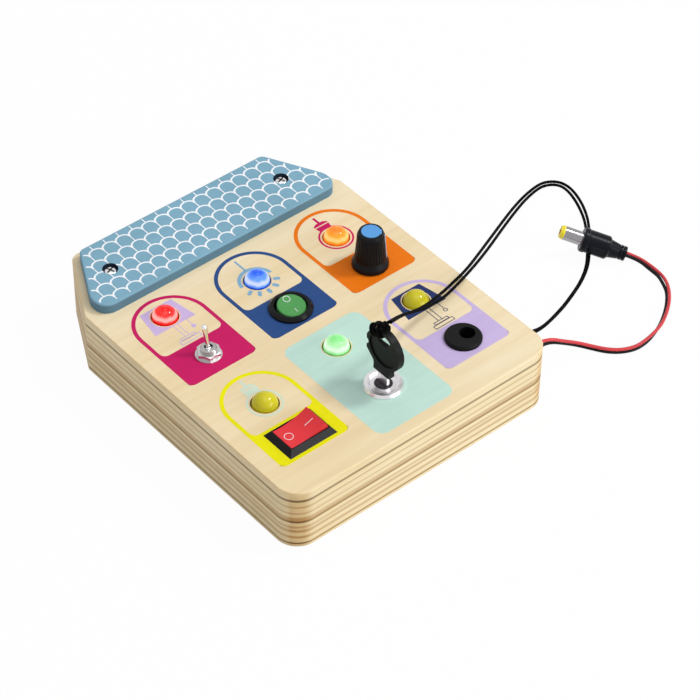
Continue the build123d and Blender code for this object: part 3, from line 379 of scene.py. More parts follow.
for name, node, body, (x, y, z), size in knot_places:
    knot_route = []
    for step in range(knot_points):
        turn = step * 2 * math.pi / (knot_points - 1)
        knot_route.append(
            (
                x + size * (math.sin(turn) + 2 * math.sin(2 * turn)),
                y + size * (math.cos(turn) - 2 * math.cos(2 * turn)),
                z - size * 2 * math.sin(3 * turn),
            )
        )
    tied(name, node, body, knot_route)

# ---- Red and black wire to the plug ------------------------------------------------------------
# Two stranded hook-up wires in soft PVC, out of one hole in the right-hand wall. They lie on the
# table and end in the plug's strain relief.
lead_diameter = 1.3 * MM
lead_low = 0.67
lead_hole_z = 9.5
lead_steps = 16
flow_spread = 0.06

red_route = (
    (44.40, -56.20, 9.2),
    (51.8, -56.4, lead_hole_z),
    (60.8, -56.4, lead_hole_z),
    (67.2, -56.7, 9.6),
    (75.1, -57.5, 8.3),
    (80.8, -59.0, 4.9),
    (85.7, -61.5, 2.98),
    (89.4, -65.8, 2.05),
    (92.4, -70.6, 2.18),
    (96.5, -74.3, 2.1),
    (102.0, -76.4, 2.1),
    (107.6, -76.1, 2.08),
    (112.7, -75.2, 2.1),
    (117.8, -73.7, 2.0),
    (123.5, -70.5, 1.75),
    (128.4, -67.1, 1.78),
    (132.6, -63.0, 1.87),
    (136.1, -58.2, 1.57),
    (138.1, -53.2, 1.03),
    (138.1, -48.1, 1.39),
    (138.00, -40.85, 1.31),
    (134.58, -37.02, 2.92),
)
black_route = (
    (44.40, -57.60, 7.2),
    (51.8, -57.8, lead_hole_z),
    (60.8, -57.8, lead_hole_z),
    (67.2, -58.2, 8.6),
    (75.4, -57.1, 6.2),
    (81.2, -58.8, 3.4),
    (86.0, -61.3, 1.34),
    (89.5, -65.9, lead_low),
    (92.5, -70.7, lead_low),
    (96.7, -74.3, lead_low),
    (102.0, -76.5, lead_low),
    (108.1, -76.2, lead_low),
    (113.3, -74.6, lead_low),
    (118.0, -72.7, lead_low),
    (123.5, -69.5, lead_low),
    (128.6, -65.7, lead_low),
    (132.9, -61.4, lead_low),
    (135.0, -57.4, lead_low),
    (136.85, -52.9, 0.7),
    (136.85, -47.9, 0.8),
    (136.92, -41.81, 1.31),
    (133.51, -37.98, 2.92),
)


def dimmed(colour, share):
    """A colour made darker or lighter by a share."""
    return (*(min(1, value * share) for value in colour[:3]), 1)


def moulded_finish(
    name, colour, roughness=0.35, grain=0.04, grain_scale=900, coat=0.0, spread=0.12
):
    """Moulded plastic: even colour with slight flow marks and a fine eroded grain."""
    finish, tree, shader = new_finish(
        name, Specular_IOR_Level=0.13, Coat_Weight=coat, Coat_Roughness=0.08
    )
    here = add_node(tree, "TexCoord", out="Object")
    flow = add_node(tree, "TexNoise", here, Scale=60.0, Detail=3.0)
    skin = add_node(tree, "TexNoise", here, Scale=grain_scale, Detail=2.0)
    darker, lighter = dimmed(colour, 1 - spread), dimmed(colour, 1 + spread)
    mixed = stepped(tree, flow, (0.3, darker), (0.7, lighter))
    tree.links.new(mixed, shader.inputs["Base Color"])
    ends = (roughness - flow_spread, roughness + flow_spread)
    rough = add_node(tree, "MapRange", flow, 0.0, 1.0, *ends)
    tree.links.new(rough, shader.inputs["Roughness"])
    raised(tree, shader, skin, grain * MM)
    return finish


# Name, route, the wire it stands for, its slot, its length in metres, and its colour
leads = (
    ("lead_red", red_route, "red_wire", "red_wire", 0.1288, shade(208, 72, 76)),
    ("lead_black", black_route, "black_wire", "black_wire", 0.1270, shade(24, 24, 27)),
)
for name, route, node, slot, length, colour in leads:
    lead = smooth_line(name, route, lead_steps)
    lead.data.bevel_depth = lead_diameter / 2
    lead.data.bevel_resolution = 4
    lead.data.use_fill_caps = True
    lead.data.materials.append(moulded_finish(name + "_insulation", colour, 0.3))
    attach(lead, "root")
    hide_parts(node)

# ---- Table and light ---------------------------------------------------------------------------
# A plain pale table top that shows white behind the board but keeps the shadows on it, a lamp from
# the right that casts them, two large soft ones from the front and above, and an even pale sky.
table_size = 6
table_drop = 0.1
table_colour = (0.82, 0.82, 0.82, 1)
table_share = 0.965
sky_colour = (0.97, 0.955, 1.0, 1)
sky_strength = 0.48
# Name, place in metres, width and power
studio_lamps = (
    ("right_lamp", (1.28, -0.66, 1.88), 0.42, 21.0),
    ("front_lamp", (0.80, -1.90, 0.70), 1.4, 16.5),
    ("top_lamp", (0.10, -0.20, 2.60), 2.0, 14.5),
)
lamp_aim = Vector((0, 0, 0.02))


def seen_directly(tree):
    """One for what is seen plainly or in a mirror or a lens, nought for what only sheds light."""
    ray = tree.nodes.new("ShaderNodeLightPath").outputs
    either = add_node(
        tree, "Math", ray["Is Camera Ray"], ray["Is Glossy Ray"], operation="MAXIMUM"
    )
    return add_node(tree, "Math", either, ray["Is Transmission Ray"], operation="MAXIMUM")


bpy.ops.mesh.primitive_plane_add(size=table_size, location=(0, 0, -table_drop * MM))
table_top = bpy.context.object
table_top.name = "table_top"
table_finish, table_tree, table_shader = new_finish(
    "pale_table", Base_Color=table_colour, Roughness=0.9
)
table_seen = add_node(
    table_tree, "Math", seen_directly(table_tree), table_share, operation="MULTIPLY"
)
table_glow = add_node(table_tree, "Emission", Strength=1.0)
table_mix = add_node(table_tree, "MixShader", table_seen, table_shader.outputs["BSDF"], table_glow)
table_tree.links.new(table_mix, table_tree.nodes["Material Output"].inputs["Surface"])
table_top.data.materials.append(table_finish)

sky = bpy.data.worlds.new("pale_sky")
bpy.context.scene.world = sky
sky.use_nodes = True
sky_tree = sky.node_tree
sky_light = sky_tree.nodes["Background"]
sky_light.inputs["Color"].default_value = sky_colour
sky_light.inputs["Strength"].default_value = sky_strength
sky_white = add_node(sky_tree, "Background", Strength=1.0)
sky_mix = add_node(
    sky_tree, "MixShader", seen_directly(sky_tree), sky_light.outputs["Background"], sky_white
)
sky_tree.links.new(sky_mix, sky_tree.nodes["World Output"].inputs["Surface"])

for name, place, size, power in studio_lamps:
    bpy.ops.object.light_add(type="AREA", location=place)
    lamp = bpy.context.object
    lamp.name = name
    lamp.data.size = size
    lamp.data.energy = power
    lamp.rotation_mode = "QUATERNION"
    lamp.rotation_quaternion = (lamp_aim - Vector(place)).to_track_quat("-Z", "Y")

bpy.context.scene.view_settings.view_transform = "Standard"

# ---- Wooden box --------------------------------------------------------------------------------
# Bottom panel, two milled rings and top panel of birch plywood, glued in a stack and sanded. Its
# edges show the plies, pale along the grain, and darker and browner on the round corners and
# slanted faces as painted shade.
deck_z = 26.2
ply_sway = 0.12
# Height in the stack and the ply that shows there
ply_bands = (
    (0.0, "pale"),
    (0.9, "pale"),
    (1.3, "joint"),
    (1.7, "joint"),
    (2.1, "pale"),
    (3.6, "pale"),
    (4.3, "tan"),
    (4.9, "tan"),
    (5.4, "pale"),
    (6.6, "pale"),
    (7.2, "tan"),
    (7.9, "tan"),
    (8.5, "pale"),
    (9.6, "tan"),
    (10.4, "pale"),
    (11.5, "pale"),
    (11.8, "joint"),
    (12.4, "joint"),
    (12.8, "tan"),
    (13.9, "tan"),
    (14.8, "pale"),
    (15.7, "pale"),
    (16.3, "tan"),
    (16.9, "pale"),
    (18.6, "pale"),
    (19.4, "tan"),
    (20.0, "pale"),
    (21.7, "pale"),
    (22.1, "line"),
    (22.8, "line"),
    (23.1, "pale"),
    (25.9, "deck"),
)
ply_colours = {
    "deck": shade(241, 225, 190),
    "pale": shade(242, 228, 192),
    "tan": shade(214, 189, 148),
    "line": shade(166, 146, 112),
    "joint": shade(170, 142, 98),
}
# Darker, browner plies for the round corners and slanted faces: painted shade where they turn from
# the light
corner_shade_colours = {
    "deck": shade(232, 208, 164),
    "pale": shade(226, 202, 156),
    "tan": shade(192, 150, 98),
    "line": shade(132, 106, 70),
    "joint": shade(128, 92, 52),
}


def plywood_finish():
    """Birch plywood: plies by height on the edges, long fibres along X on the faces, painted shade
    on the round corners.
    """
    finish, tree, shader = new_finish("birch_plywood", Roughness=0.6, Specular_IOR_Level=0.15)
    here = add_node(tree, "TexCoord", out="Object")
    sway = add_node(tree, "TexNoise", here, Scale=38.0, Detail=3.0)
    level = add_node(tree, "SeparateXYZ", here, out="Z")
    swayed = add_node(tree, "Math", sway, ply_sway * MM, level, operation="MULTIPLY_ADD")
    height = add_node(
        tree, "MapRange", swayed, ply_sway / 2 * MM, (deck_z + ply_sway / 2) * MM
    )
    plies = stepped(tree, height, *((z / deck_z, ply_colours[kind]) for z, kind in ply_bands))
    cut = stepped(tree, height, *((z / deck_z, corner_shade_colours[kind]) for z, kind in ply_bands))
    way = add_node(tree, "TexCoord", out="Normal")
    sideways = add_node(
        tree, "Math", add_node(tree, "SeparateXYZ", way, out="X"), operation="ABSOLUTE"
    )
    # Share of the painted corner shade, by how far a face turns between front and side
    across = stepped(tree, sideways, (0.05, 0), (0.4, 255), (0.8, 255), (0.9, 150), (1, 0))
    plies = blended(tree, across, plies, cut)
    grain = add_node(tree, "Mapping", here, Scale=(22, 420, 900))
    fibres = add_node(tree, "TexNoise", grain, Scale=1.0, Detail=5.0, Roughness=0.6)
    fibre_tone = stepped(tree, fibres, (0.3, shade(247, 243, 234)), (0.7, 255))
    wide = add_node(tree, "Mapping", here, Scale=(6, 26, 26))
    figure = add_node(tree, "TexNoise", wide, Scale=1.0, Detail=2.0, Distortion=0.8)
    figure_tone = stepped(tree, figure, (0.35, shade(249, 245, 236)), (0.65, 255))
    toned = blended(tree, 1.0, plies, fibre_tone, "MULTIPLY")
    toned = blended(tree, 1.0, toned, figure_tone, "MULTIPLY")
    tree.links.new(toned, shader.inputs["Base Color"])
    raised(tree, shader, fibres, 0.04 * MM)
    return finish


def dress(finish, *nodes):
    """Give carried-over pieces a finish."""
    for node in nodes:
        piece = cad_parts[node]
        if not piece.material_slots:
            piece.data.materials.append(finish)
        for slot in piece.material_slots:
            slot.material = finish


dress(plywood_finish(), "bottom_panel", "lower_frame", "upper_frame", "top_panel")

# ---- Roof plate --------------------------------------------------------------------------------
# Four millimetre plywood plate, sprayed matt grey-blue all over and screwed on the top panel. Rows
# of fish scales are printed on it in white, in from its edge.
roof_top_z = 30.35
roof_side_colour = shade(94, 132, 154)
roof_top_colour = shade(130, 174, 194)
roof_fade = (0.9, 0.05)  # depths between which the edge's colour gives way to the top's
# Painted shade on the walls of the screw holes
hole_shade_colour = shade(30, 42, 58)
hole_margin = 0.04
board_middle = (60, 74.1)
scale_pitch = 6.03
scale_row_pitch = 5.72
scale_line = 0.8
scale_stem = 0.4
scale_squash = 0.78
scale_flare = 0.35
scale_first_x = 18.1 - board_middle[0]
scale_top_y = 142.2 - board_middle[1]
scale_rows = range(-1, 6)
scale_columns = range(-4, 18)
scale_sides = 40
weld_reach = 0.01
ink_thickness = 0.04
cutter_sides = 96
cutter_height = 2.0
near = 0.05  # how close to a line a point counts as on it

# Printed area: its front, back and sides as distances from the middle, then its round corners: the
# middle of each, its radius, and the directions in which it starts and ends
print_front = 40.9
print_side = 54.1
print_back = 70.4
print_slant = 27.4
print_corners = (
    ((49.6, 45.0), 4.5, -90, 0),
    ((47.1, 45.64), 7.0, 0, print_slant),
    ((41.1, 68.0), 2.2, print_slant, 90),
)
print_corner_cuts = (0, 0.2, 0.4, 0.6, 0.8, 1)
screw_x = 40.1
screw_y = 55.6
screw_hole_radius = 2.95


def at(x, y, z=deck_z):
    """Place or way in the scene, from millimetres."""
    return (x * MM, y * MM, z * MM)


def edit(mode):
    """Enter edit mode in one select mode: VERT, EDGE or FACE."""
    bpy.ops.object.mode_set(mode="EDIT")
    bpy.ops.mesh.select_mode(type=mode)


def select_all():
    """Select all of the mesh in edit mode."""
    bpy.ops.mesh.select_all(action="SELECT")


def select_where(kind, test):
    """Select the verts, edges or faces of the mesh in edit mode whose middle passes a test."""
    bpy.ops.mesh.select_mode(type={"verts": "VERT", "edges": "EDGE", "faces": "FACE"}[kind])
    shape = bmesh.from_edit_mesh(bpy.context.object.data)
    for element in (*shape.verts, *shape.edges, *shape.faces):
        element.select = False
    for element in getattr(shape, kind):
        corners = [element.co] if kind == "verts" else [corner.co for corner in element.verts]
        middle = sum(corners, Vector()) / len(corners)
        if test(middle / MM):
            element.select_set(True)
    bmesh.update_edit_mesh(bpy.context.object.data)


def pulled(*way):
    """Extrude what is selected along a way in millimetres."""
    bpy.ops.mesh.extrude_region_move(TRANSFORM_OT_translate={"value": at(*way)})


def hollowed(line):
    """Leave only a line of a width along the outline of the flat shape in edit mode."""
    bpy.ops.mesh.select_mode(type="FACE")
    select_all()
    bpy.ops.mesh.inset(thickness=line * MM, depth=0)
    bpy.ops.mesh.delete(type="FACE")


def thickened(height=ink_thickness):
    """Extrude all faces of the mesh in edit mode upwards, keeping the lower ones."""
    select_all()
    pulled(0, 0, height)
    select_all()
    bpy.ops.mesh.normals_make_consistent(inside=False)


def done():
    """Leave edit mode with the finished piece."""
    bpy.ops.object.mode_set(mode="OBJECT")
    return bpy.context.object


def placed():
    """Put the piece's place and turn into its mesh."""
    bpy.ops.object.transform_apply(location=True, rotation=True, scale=True)
    return bpy.context.object


def joined(pieces, name):
    """Join pieces into one and give it a name."""
    bpy.ops.object.select_all(action="DESELECT")
    for piece in pieces:
        piece.select_set(True)
    bpy.context.view_layer.objects.active = pieces[0]
    if len(pieces) > 1:
        bpy.ops.object.join()
    bpy.context.object.name = name
    bpy.ops.object.select_all(action="DESELECT")
    return pieces[0]


def copied(piece, shift):
    """Copy of a piece with its own mesh, moved in its mesh by a shift in millimetres."""
    twin = piece.copy()
    twin.data = piece.data.copy()
    twin.data.transform(Matrix.Translation(Vector(shift) * MM))
    bpy.context.scene.collection.objects.link(twin)
    return twin


def flat_circle(sides, radius, x, y, z=deck_z, line=0.0):
    """Flat disc in edit mode, or a ring where a line width is given."""
    bpy.ops.object.select_all(action="DESELECT")
    bpy.ops.mesh.primitive_circle_add(
        vertices=sides, radius=radius * MM, fill_type="NGON", location=at(x, y, z)
    )
    placed()
    edit("FACE")
    if line:
        hollowed(line)


def one_scale():
    """One flat scale: half a ring, round side to the back, with half a stem at each foot."""
    radius = scale_pitch / 2
    flat_circle(scale_sides, radius + scale_line / 2, 0, 0, roof_top_z, scale_line)
    for x, way in ((0, (0, 1, 0)), (-radius, (1, 0, 0)), (radius, (-1, 0, 0))):
        select_all()
        bpy.ops.mesh.bisect(plane_co=at(x, 0, 0), plane_no=way, clear_inner=True)
    select_all()
    bpy.ops.transform.resize(value=(1, scale_squash, 1), center_override=at(0, 0, roof_top_z))
    stem = scale_row_pitch - scale_squash * (radius + scale_line / 2)
    for side in (-1, 1):
        select_where("edges", lambda p: abs(p.y) < near and p.x * side > 0)
        pulled(0, -scale_flare, 0)
        bpy.ops.transform.resize(
            value=(scale_stem / scale_line, 1, 1), center_override=at(side * radius, 0, roof_top_z)
        )
        pulled(0, scale_flare - stem, 0)
    return done()


def cut_out(piece, cutters):
    """Take cutters out of a piece, for good."""
    bpy.ops.object.select_all(action="DESELECT")
    bpy.context.view_layer.objects.active = piece
    piece.select_set(True)
    for cutter in cutters:
        modifier = piece.modifiers.new("cut", "BOOLEAN")
        modifier.operation = "DIFFERENCE"
        modifier.solver = "EXACT"
        modifier.object = cutter
        bpy.ops.object.modifier_apply(modifier=modifier.name)
        bpy.data.objects.remove(cutter)


def round_cutter(radius, x, y, z=deck_z):
    """Upright round cutter through the ink, centred on a place."""
    bpy.ops.object.select_all(action="DESELECT")
    bpy.ops.mesh.primitive_cylinder_add(
        vertices=cutter_sides, radius=radius * MM, depth=cutter_height * MM, location=at(x, y, z)
    )
    return placed()


first_scale = one_scale()
scales = []
for row in scale_rows:
    for column in scale_columns:
        x = scale_first_x + (column + 0.5 * (1 - abs(row) % 2)) * scale_pitch
        y = scale_top_y - row * scale_row_pitch - scale_squash * (scale_pitch + scale_line) / 2
        scales.append(copied(first_scale, (x, y, 0)))
bpy.data.objects.remove(first_scale)
fish_scales = joined(scales, "roof_scale_print")
bpy.context.view_layer.objects.active = fish_scales
edit("VERT")
select_all()
bpy.ops.mesh.remove_doubles(threshold=weld_reach * MM)
print_cuts = [((0, print_front), -90), ((0, print_back), 90), ((print_side, 0), 0)]
for (x, y), radius, start, end in print_corners:
    for share in print_corner_cuts:
        angle = start + share * (end - start)
        out = math.radians(angle)
        print_cuts.append(((x + radius * math.cos(out), y + radius * math.sin(out)), angle))
for (x, y), angle in print_cuts:
    for side in (-1, 1):
        out = (side * math.cos(math.radians(angle)), math.sin(math.radians(angle)), 0)
        select_all()
        bpy.ops.mesh.bisect(plane_co=at(side * x, y, 0), plane_no=out, clear_outer=True)
thickened()
done()


def painted_finish(name, colour, roughness=0.5, relief=0.03):
    """Opaque paint or ink on wood: faint fibres show through it."""
    finish, tree, shader = new_finish(name, Roughness=roughness, Specular_IOR_Level=0.12)
    here = add_node(tree, "TexCoord", out="Object")
    stretched = add_node(tree, "Mapping", here, Scale=(30, 420, 420))
    fibres = add_node(tree, "TexNoise", stretched, Scale=1.0, Detail=4.0)
    cloud = add_node(tree, "TexNoise", here, Scale=45.0, Detail=2.0)
    toned = stepped(tree, fibres, (0.3, dimmed(colour, 0.95)), (0.65, colour))
    clouded = stepped(tree, cloud, (0.3, 247), (0.7, 255))
    tree.links.new(blended(tree, 1.0, toned, clouded, "MULTIPLY"), shader.inputs["Base Color"])
    raised(tree, shader, fibres, relief * MM)
    return finish


def roof_finish():
    """Roof paint: full on the top, thinner and greyer on the edge, with painted shade in the screw
    holes.
    """
    paint = painted_finish("roof_paint", roof_top_colour)
    tree = paint.node_tree
    base = tree.nodes["Principled BSDF"].inputs["Base Color"]
    here = add_node(tree, "TexCoord", out="Object")
    level = add_node(tree, "SeparateXYZ", here, out="Z")
    height = add_node(tree, "MapRange", level, *((roof_top_z - drop) * MM for drop in roof_fade))
    mixed = blended(tree, height, roof_side_colour, base.links[0].from_socket)
    either_side = add_node(tree, "VectorMath", here, operation="ABSOLUTE")
    screw_place = at(screw_x, screw_y, 0)
    from_screw = add_node(tree, "VectorMath", either_side, screw_place, operation="SUBTRACT")
    flat = add_node(tree, "VectorMath", from_screw, (1, 1, 0), operation="MULTIPLY")
    reach = add_node(tree, "VectorMath", flat, operation="LENGTH", out="Value")
    hole_reach = (screw_hole_radius + hole_margin) * MM
    in_hole_shade = add_node(tree, "Math", reach, hole_reach, operation="LESS_THAN")
    tree.links.new(blended(tree, in_hole_shade, mixed, hole_shade_colour), base)
    return paint


dress(roof_finish(), "roof_plate")
screw_holes = []
for side in (-1, 1):
    screw_holes.append(round_cutter(screw_hole_radius, side * screw_x, screw_y, z=roof_top_z))
cut_out(fish_scales, screw_holes)
fish_scales.data.materials.append(painted_finish("white_ink", shade(247, 251, 253)))
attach(fish_scales, "root")

# ---- Screws ------------------------------------------------------------------------------------
# Nickelled pan-head screws with a cross recess hold the roof plate. Zinc-plated countersunk screws
# close the case and the battery cover from below.
screw_sides = 64
screw_head_radius = 2.7
screw_head_height = 1.5
screw_head_drop = 0.55
screw_crown_insets = (0.5, 0.9)
screw_crown_drops = ((0.1, 0.75), (0.6, 0.25))  # from how far in, and how far down
screw_shank_radius = 1.3
screw_shank_length = 5.4
screw_point = 1.6
cross_length = 3.4
cross_width = 0.62
cross_depth = 0.9
cross_turns = (20, 110)
recess_shade_drops = (0.3, 1.0)  # depths between which the recess is painted dark as shade
recess_shade_reach = 1.75
smear_spread = 0.4


def flat_plate(width, length, x, y, z=deck_z):
    """Flat rectangle at its size and place, in edit mode."""
    bpy.ops.object.select_all(action="DESELECT")
    bpy.ops.mesh.primitive_plane_add(size=1, location=at(x, y, z))
    bpy.context.object.scale = (width * MM, length * MM, 1)
    placed()
    edit("VERT")


def metal_finish(name, colour, roughness, relief=0.0):
    """Plated metal: an even mirror with faint smears in its roughness."""
    finish, tree, shader = new_finish(name, Metallic=1.0)
    here = add_node(tree, "TexCoord", out="Object")
    smear = add_node(tree, "TexNoise", here, Scale=300.0, Detail=3.0)
    ends = (roughness * (1 - smear_spread), roughness * (1 + smear_spread))
    rough = add_node(tree, "MapRange", smear, 0.0, 1.0, *ends)
    tree.links.new(rough, shader.inputs["Roughness"])
    toned = stepped(tree, smear, (0.3, dimmed(colour, 0.9)), (0.7, colour))
    tree.links.new(toned, shader.inputs["Base Color"])
    if relief:
        raised(tree, shader, smear, relief * MM)
    return finish


chrome = metal_finish("chrome_plate", shade(240, 239, 241), 0.13)
head_top = roof_top_z - screw_head_drop
head_foot = head_top - screw_head_height
bpy.ops.object.select_all(action="DESELECT")
bpy.ops.mesh.primitive_cylinder_add(
    vertices=screw_sides,
    radius=screw_head_radius * MM,
    depth=screw_head_height * MM,
    location=at(0, 0, head_top - screw_head_height / 2),
)
placed()
edit("FACE")
select_where("faces", lambda p: p.z > head_top - near)
for width in screw_crown_insets:
    bpy.ops.mesh.inset(thickness=width * MM, depth=0)
for inwards, drop in screw_crown_drops:
    rim = screw_head_radius - inwards
    select_where("verts", lambda p: p.z > head_top - near and p.xy.length > rim)
    bpy.ops.transform.translate(value=at(0, 0, -drop))
select_where("faces", lambda p: p.z < head_foot + near)
bpy.ops.mesh.inset(thickness=(screw_head_radius - screw_shank_radius) * MM, depth=0)
pulled(0, 0, -screw_shank_length)
pulled(0, 0, -screw_shank_radius * screw_point)
bpy.ops.mesh.merge(type="COLLAPSE")
screw = done()
crosses = []
for turn in cross_turns:
    flat_plate(cross_length, cross_width, 0, 0, head_top - cross_depth)
    thickened(2 * cross_depth)
    arm = done()
    arm.data.transform(Matrix.Rotation(math.radians(turn), 4, "Z"))
    crosses.append(arm)
cut_out(screw, crosses)
screw.data.materials.append(chrome)
# The dark metal in the cross recess is painted shade
screw.data.materials.append(metal_finish("cross_recess_shade", shade(60, 58, 60), 0.5))
edit("FACE")
recess_top, recess_foot = (head_top - drop for drop in recess_shade_drops)
select_where("faces", lambda p: recess_foot < p.z < recess_top and p.xy.length < recess_shade_reach)
screw.active_material_index = 1
bpy.ops.object.material_slot_assign()
done()
bpy.ops.object.shade_smooth_by_angle(angle=math.radians(35))
roof_screws = [copied(screw, (side * screw_x, screw_y, 0)) for side in (-1, 1)]
bpy.data.objects.remove(screw)
roof_screw_pair = joined(roof_screws, "roof_screw_pair")
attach(roof_screw_pair, "root")
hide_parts("roof_screws")
dress(metal_finish("zinc_screw", shade(172, 172, 168), 0.35, 0.02), "case_screws", "cover_screw")

# ---- Printed tiles on the top panel ------------------------------------------------------------
# Screen-printed ink on the bare birch: six rounded tiles, five of them an arch with a bare window
# round its lamp, and the key's one filled all over.
column_pitch = 37.7
upper_row = 0.6
lower_row = -50.7
tile_width = 30.0
tile_height = 45.0
tile_stroke = 1.5
tile_corner = 2.5
window_rise = 17.8
tile_upper_y = 65.5 - board_middle[1]
tile_lower_y = 14.4 - board_middle[1]
arch_steps = 20
corner_steps = 8
corner_flat = 0.01
lamp_places = {
    "red": (-37.7, 26.2),
    "blue": (0.0, 20.1),
    "orange": (37.7, 20.1),
    "yellow_left": (-37.7, -31.2),
    "green": (0.0, -25.1),
    "yellow_right": (37.7, -25.1),
}
bare_ring_radius = 5.65
lever_hole_radius = 3.4
round_hole_radius = 7.6
dimmer_hole_radius = 3.8
rocker_hole = (19.4, 13.2)
socket_hole_radius = 5.7
lock_hole_radius = 6.1
mint_middle = (0.25, -42.0)
mint_size = (35.1, 54.8)
mint_corner = 4.0
ink_colours = {
    "magenta": shade(202, 26, 98),
    "blue": shade(44, 78, 134),
    "orange": shade(240, 122, 14),
    "yellow": shade(238, 232, 10),
    "lilac": shade(203, 184, 226),
    "mint": shade(195, 228, 214),
    "pale_blue": shade(135, 178, 205),
    "navy": shade(40, 55, 105),
    "faint_mint": shade(208, 226, 206),
}
inks = {name: painted_finish(name + "_ink", colour) for name, colour in ink_colours.items()}


def square_cutter(width, length, x, y):
    """Upright rectangular cutter through the ink, centred on a place."""
    flat_plate(width, length, x, y, deck_z - cutter_height / 2)
    thickened(cutter_height)
    return done()


def round_off(radius, steps, test):
    """Round the corners of a flat outline that pass a test."""
    select_where("verts", test)
    bpy.ops.mesh.bevel(
        offset=radius * MM, offset_type="OFFSET", segments=steps, profile=0.5, affect="VERTICES"
    )


def inked():
    """Give the flat shape in edit mode the thickness of the ink and leave edit mode."""
    thickened()
    return done()


def printed(name, ink, pieces, body="root"):
    """One print of one ink, fixed to a body."""
    whole = joined(pieces, name)
    whole.data.materials.clear()
    whole.data.materials.append(ink)
    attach(whole, body)
    return whole


def arch_tile(ink, x, bottom, cutter):
    """Arch with a bare window in its upper part, and a hole for what passes through it."""
    top = bottom + tile_height
    flat_plate(tile_width, tile_height, x, bottom + tile_height / 2)
    round_off(tile_width / 2 - corner_flat, arch_steps, lambda p: p.y > top - near)
    hollowed(tile_stroke)
    inner = tile_width / 2 - tile_stroke
    sill = bottom + tile_stroke
    select_where("verts", lambda p: abs(p.y - sill) < near and abs(p.x - x) < inner + near)
    bpy.ops.transform.translate(value=at(0, window_rise - tile_stroke, 0))
    round_off(tile_corner, corner_steps, lambda p: abs(p.y - bottom - window_rise) < near)
    round_off(tile_corner, corner_steps, lambda p: p.y < bottom + near)
    tile = inked()
    cut_out(tile, [cutter])
    printed("tile_" + ink, inks[ink], [tile])


left, right = -column_pitch, column_pitch
arch_tile("magenta", left, tile_upper_y, round_cutter(lever_hole_radius, left, upper_row))
arch_tile("blue", 0, tile_upper_y, round_cutter(round_hole_radius, 0, upper_row))
arch_tile("orange", right, tile_upper_y, round_cutter(dimmer_hole_radius, right, upper_row))
arch_tile("yellow", left, tile_lower_y, square_cutter(*rocker_hole, left, lower_row))
arch_tile("lilac", right, tile_lower_y, round_cutter(socket_hole_radius, right, lower_row))

flat_plate(*mint_size, *mint_middle)
round_off(mint_corner, corner_steps, lambda p: True)
mint_tile = inked()
lamp_hole = round_cutter(bare_ring_radius, *lamp_places["green"])
cut_out(mint_tile, [lamp_hole, round_cutter(lock_hole_radius, 0, lower_row)])
printed("tile_mint", inks["mint"], [mint_tile])

# ---- Pictures on the tiles ---------------------------------------------------------------------
# Pictures of lights in thin printed shapes, round all the lamps but the green one: a table light
# twice, a pendant twice and a ceiling light with rays. A shape stops where it meets a lamp's ring.
outline_width = 0.3
stem_gap = 0.85
foot_height = 3.2
foot_steps = ((6.6, 1.4, 2.5), (9.1, 1.9, 0.95))  # width, height and how high its middle is
pull_reach = 5.0
pull_length = 3.4
pull_bead = 0.9
pendant_ring_radius = 6.7
pendant_ring_line = 0.75
pendant_stem = (1.0, 3.2)  # width and length
pendant_cap_radius = 3.2
pendant_cap_squash = 0.5
pendant_block = (6.2, 5.2)  # upper and lower width
pendant_block_drop = 2.1
pendant_block_overlap = 0.7
arc_radius = 7.3
arc_line = 1.4
arc_foot = 0.4
ceiling_stem = (0.8, 6.3)  # width and length
ceiling_stem_y = 30.4
ray_length = 2.8
ray_width = 1.5
ray_reach = 7.2
ray_angles = (-150, -121, -90, -59, -30)
ray_steps = 6
disc_sides = 64

# Table lights: ink, middle, bottom, lamp, the shade's upper and lower width and its two ends, and
# the line of the pull chain's bead, which is nought for a full one. Pendants: name, ink, middle,
# top of the stem, lamp
table_lights = (
    ("lilac", -37.55, 10.1, "red", (14.2, 18.0, 20.1, 32.2), 0.0),
    ("navy", 37.8, -41.3, "yellow_right", (13.4, 18.0, -31.1, -18.8), outline_width),
)
pendants = (
    ("magenta", "magenta", right, 33.7, "orange"),
    ("mint", "faint_mint", left, -17.0, "yellow_left"),
)


def bar(width, length, x, y):
    """Printed rectangle."""
    flat_plate(width, length, x, y)
    return inked()


def trapezoid(top_width, bottom_width, x, bottom, top):
    """Printed lampshade, narrower at its top."""
    flat_plate(bottom_width, top - bottom, x, (top + bottom) / 2)
    select_where("verts", lambda p: p.y > top - near)
    bpy.ops.transform.resize(value=(top_width / bottom_width, 1, 1), center_override=at(x, top))
    return inked()


def disc(radius, x, y, line=0.0):
    """Printed disc, or a ring where a line width is given."""
    flat_circle(disc_sides, radius, x, y, line=line)
    return inked()


def outlined(width, length, x, y):
    """Printed outline of a rectangle."""
    flat_plate(width, length, x, y)
    hollowed(outline_width)
    return inked()


def back_part(piece, x, y, squash=1.0):
    """Keep what lies behind a line across a print, pressed towards that line."""
    bpy.context.view_layer.objects.active = piece
    edit("VERT")
    select_all()
    bpy.ops.mesh.bisect(
        plane_co=at(0, y, 0), plane_no=(0, 1, 0), use_fill=True, clear_inner=True
    )
    select_all()
    bpy.ops.transform.resize(value=(1, squash, 1), center_override=at(x, y))
    return done()


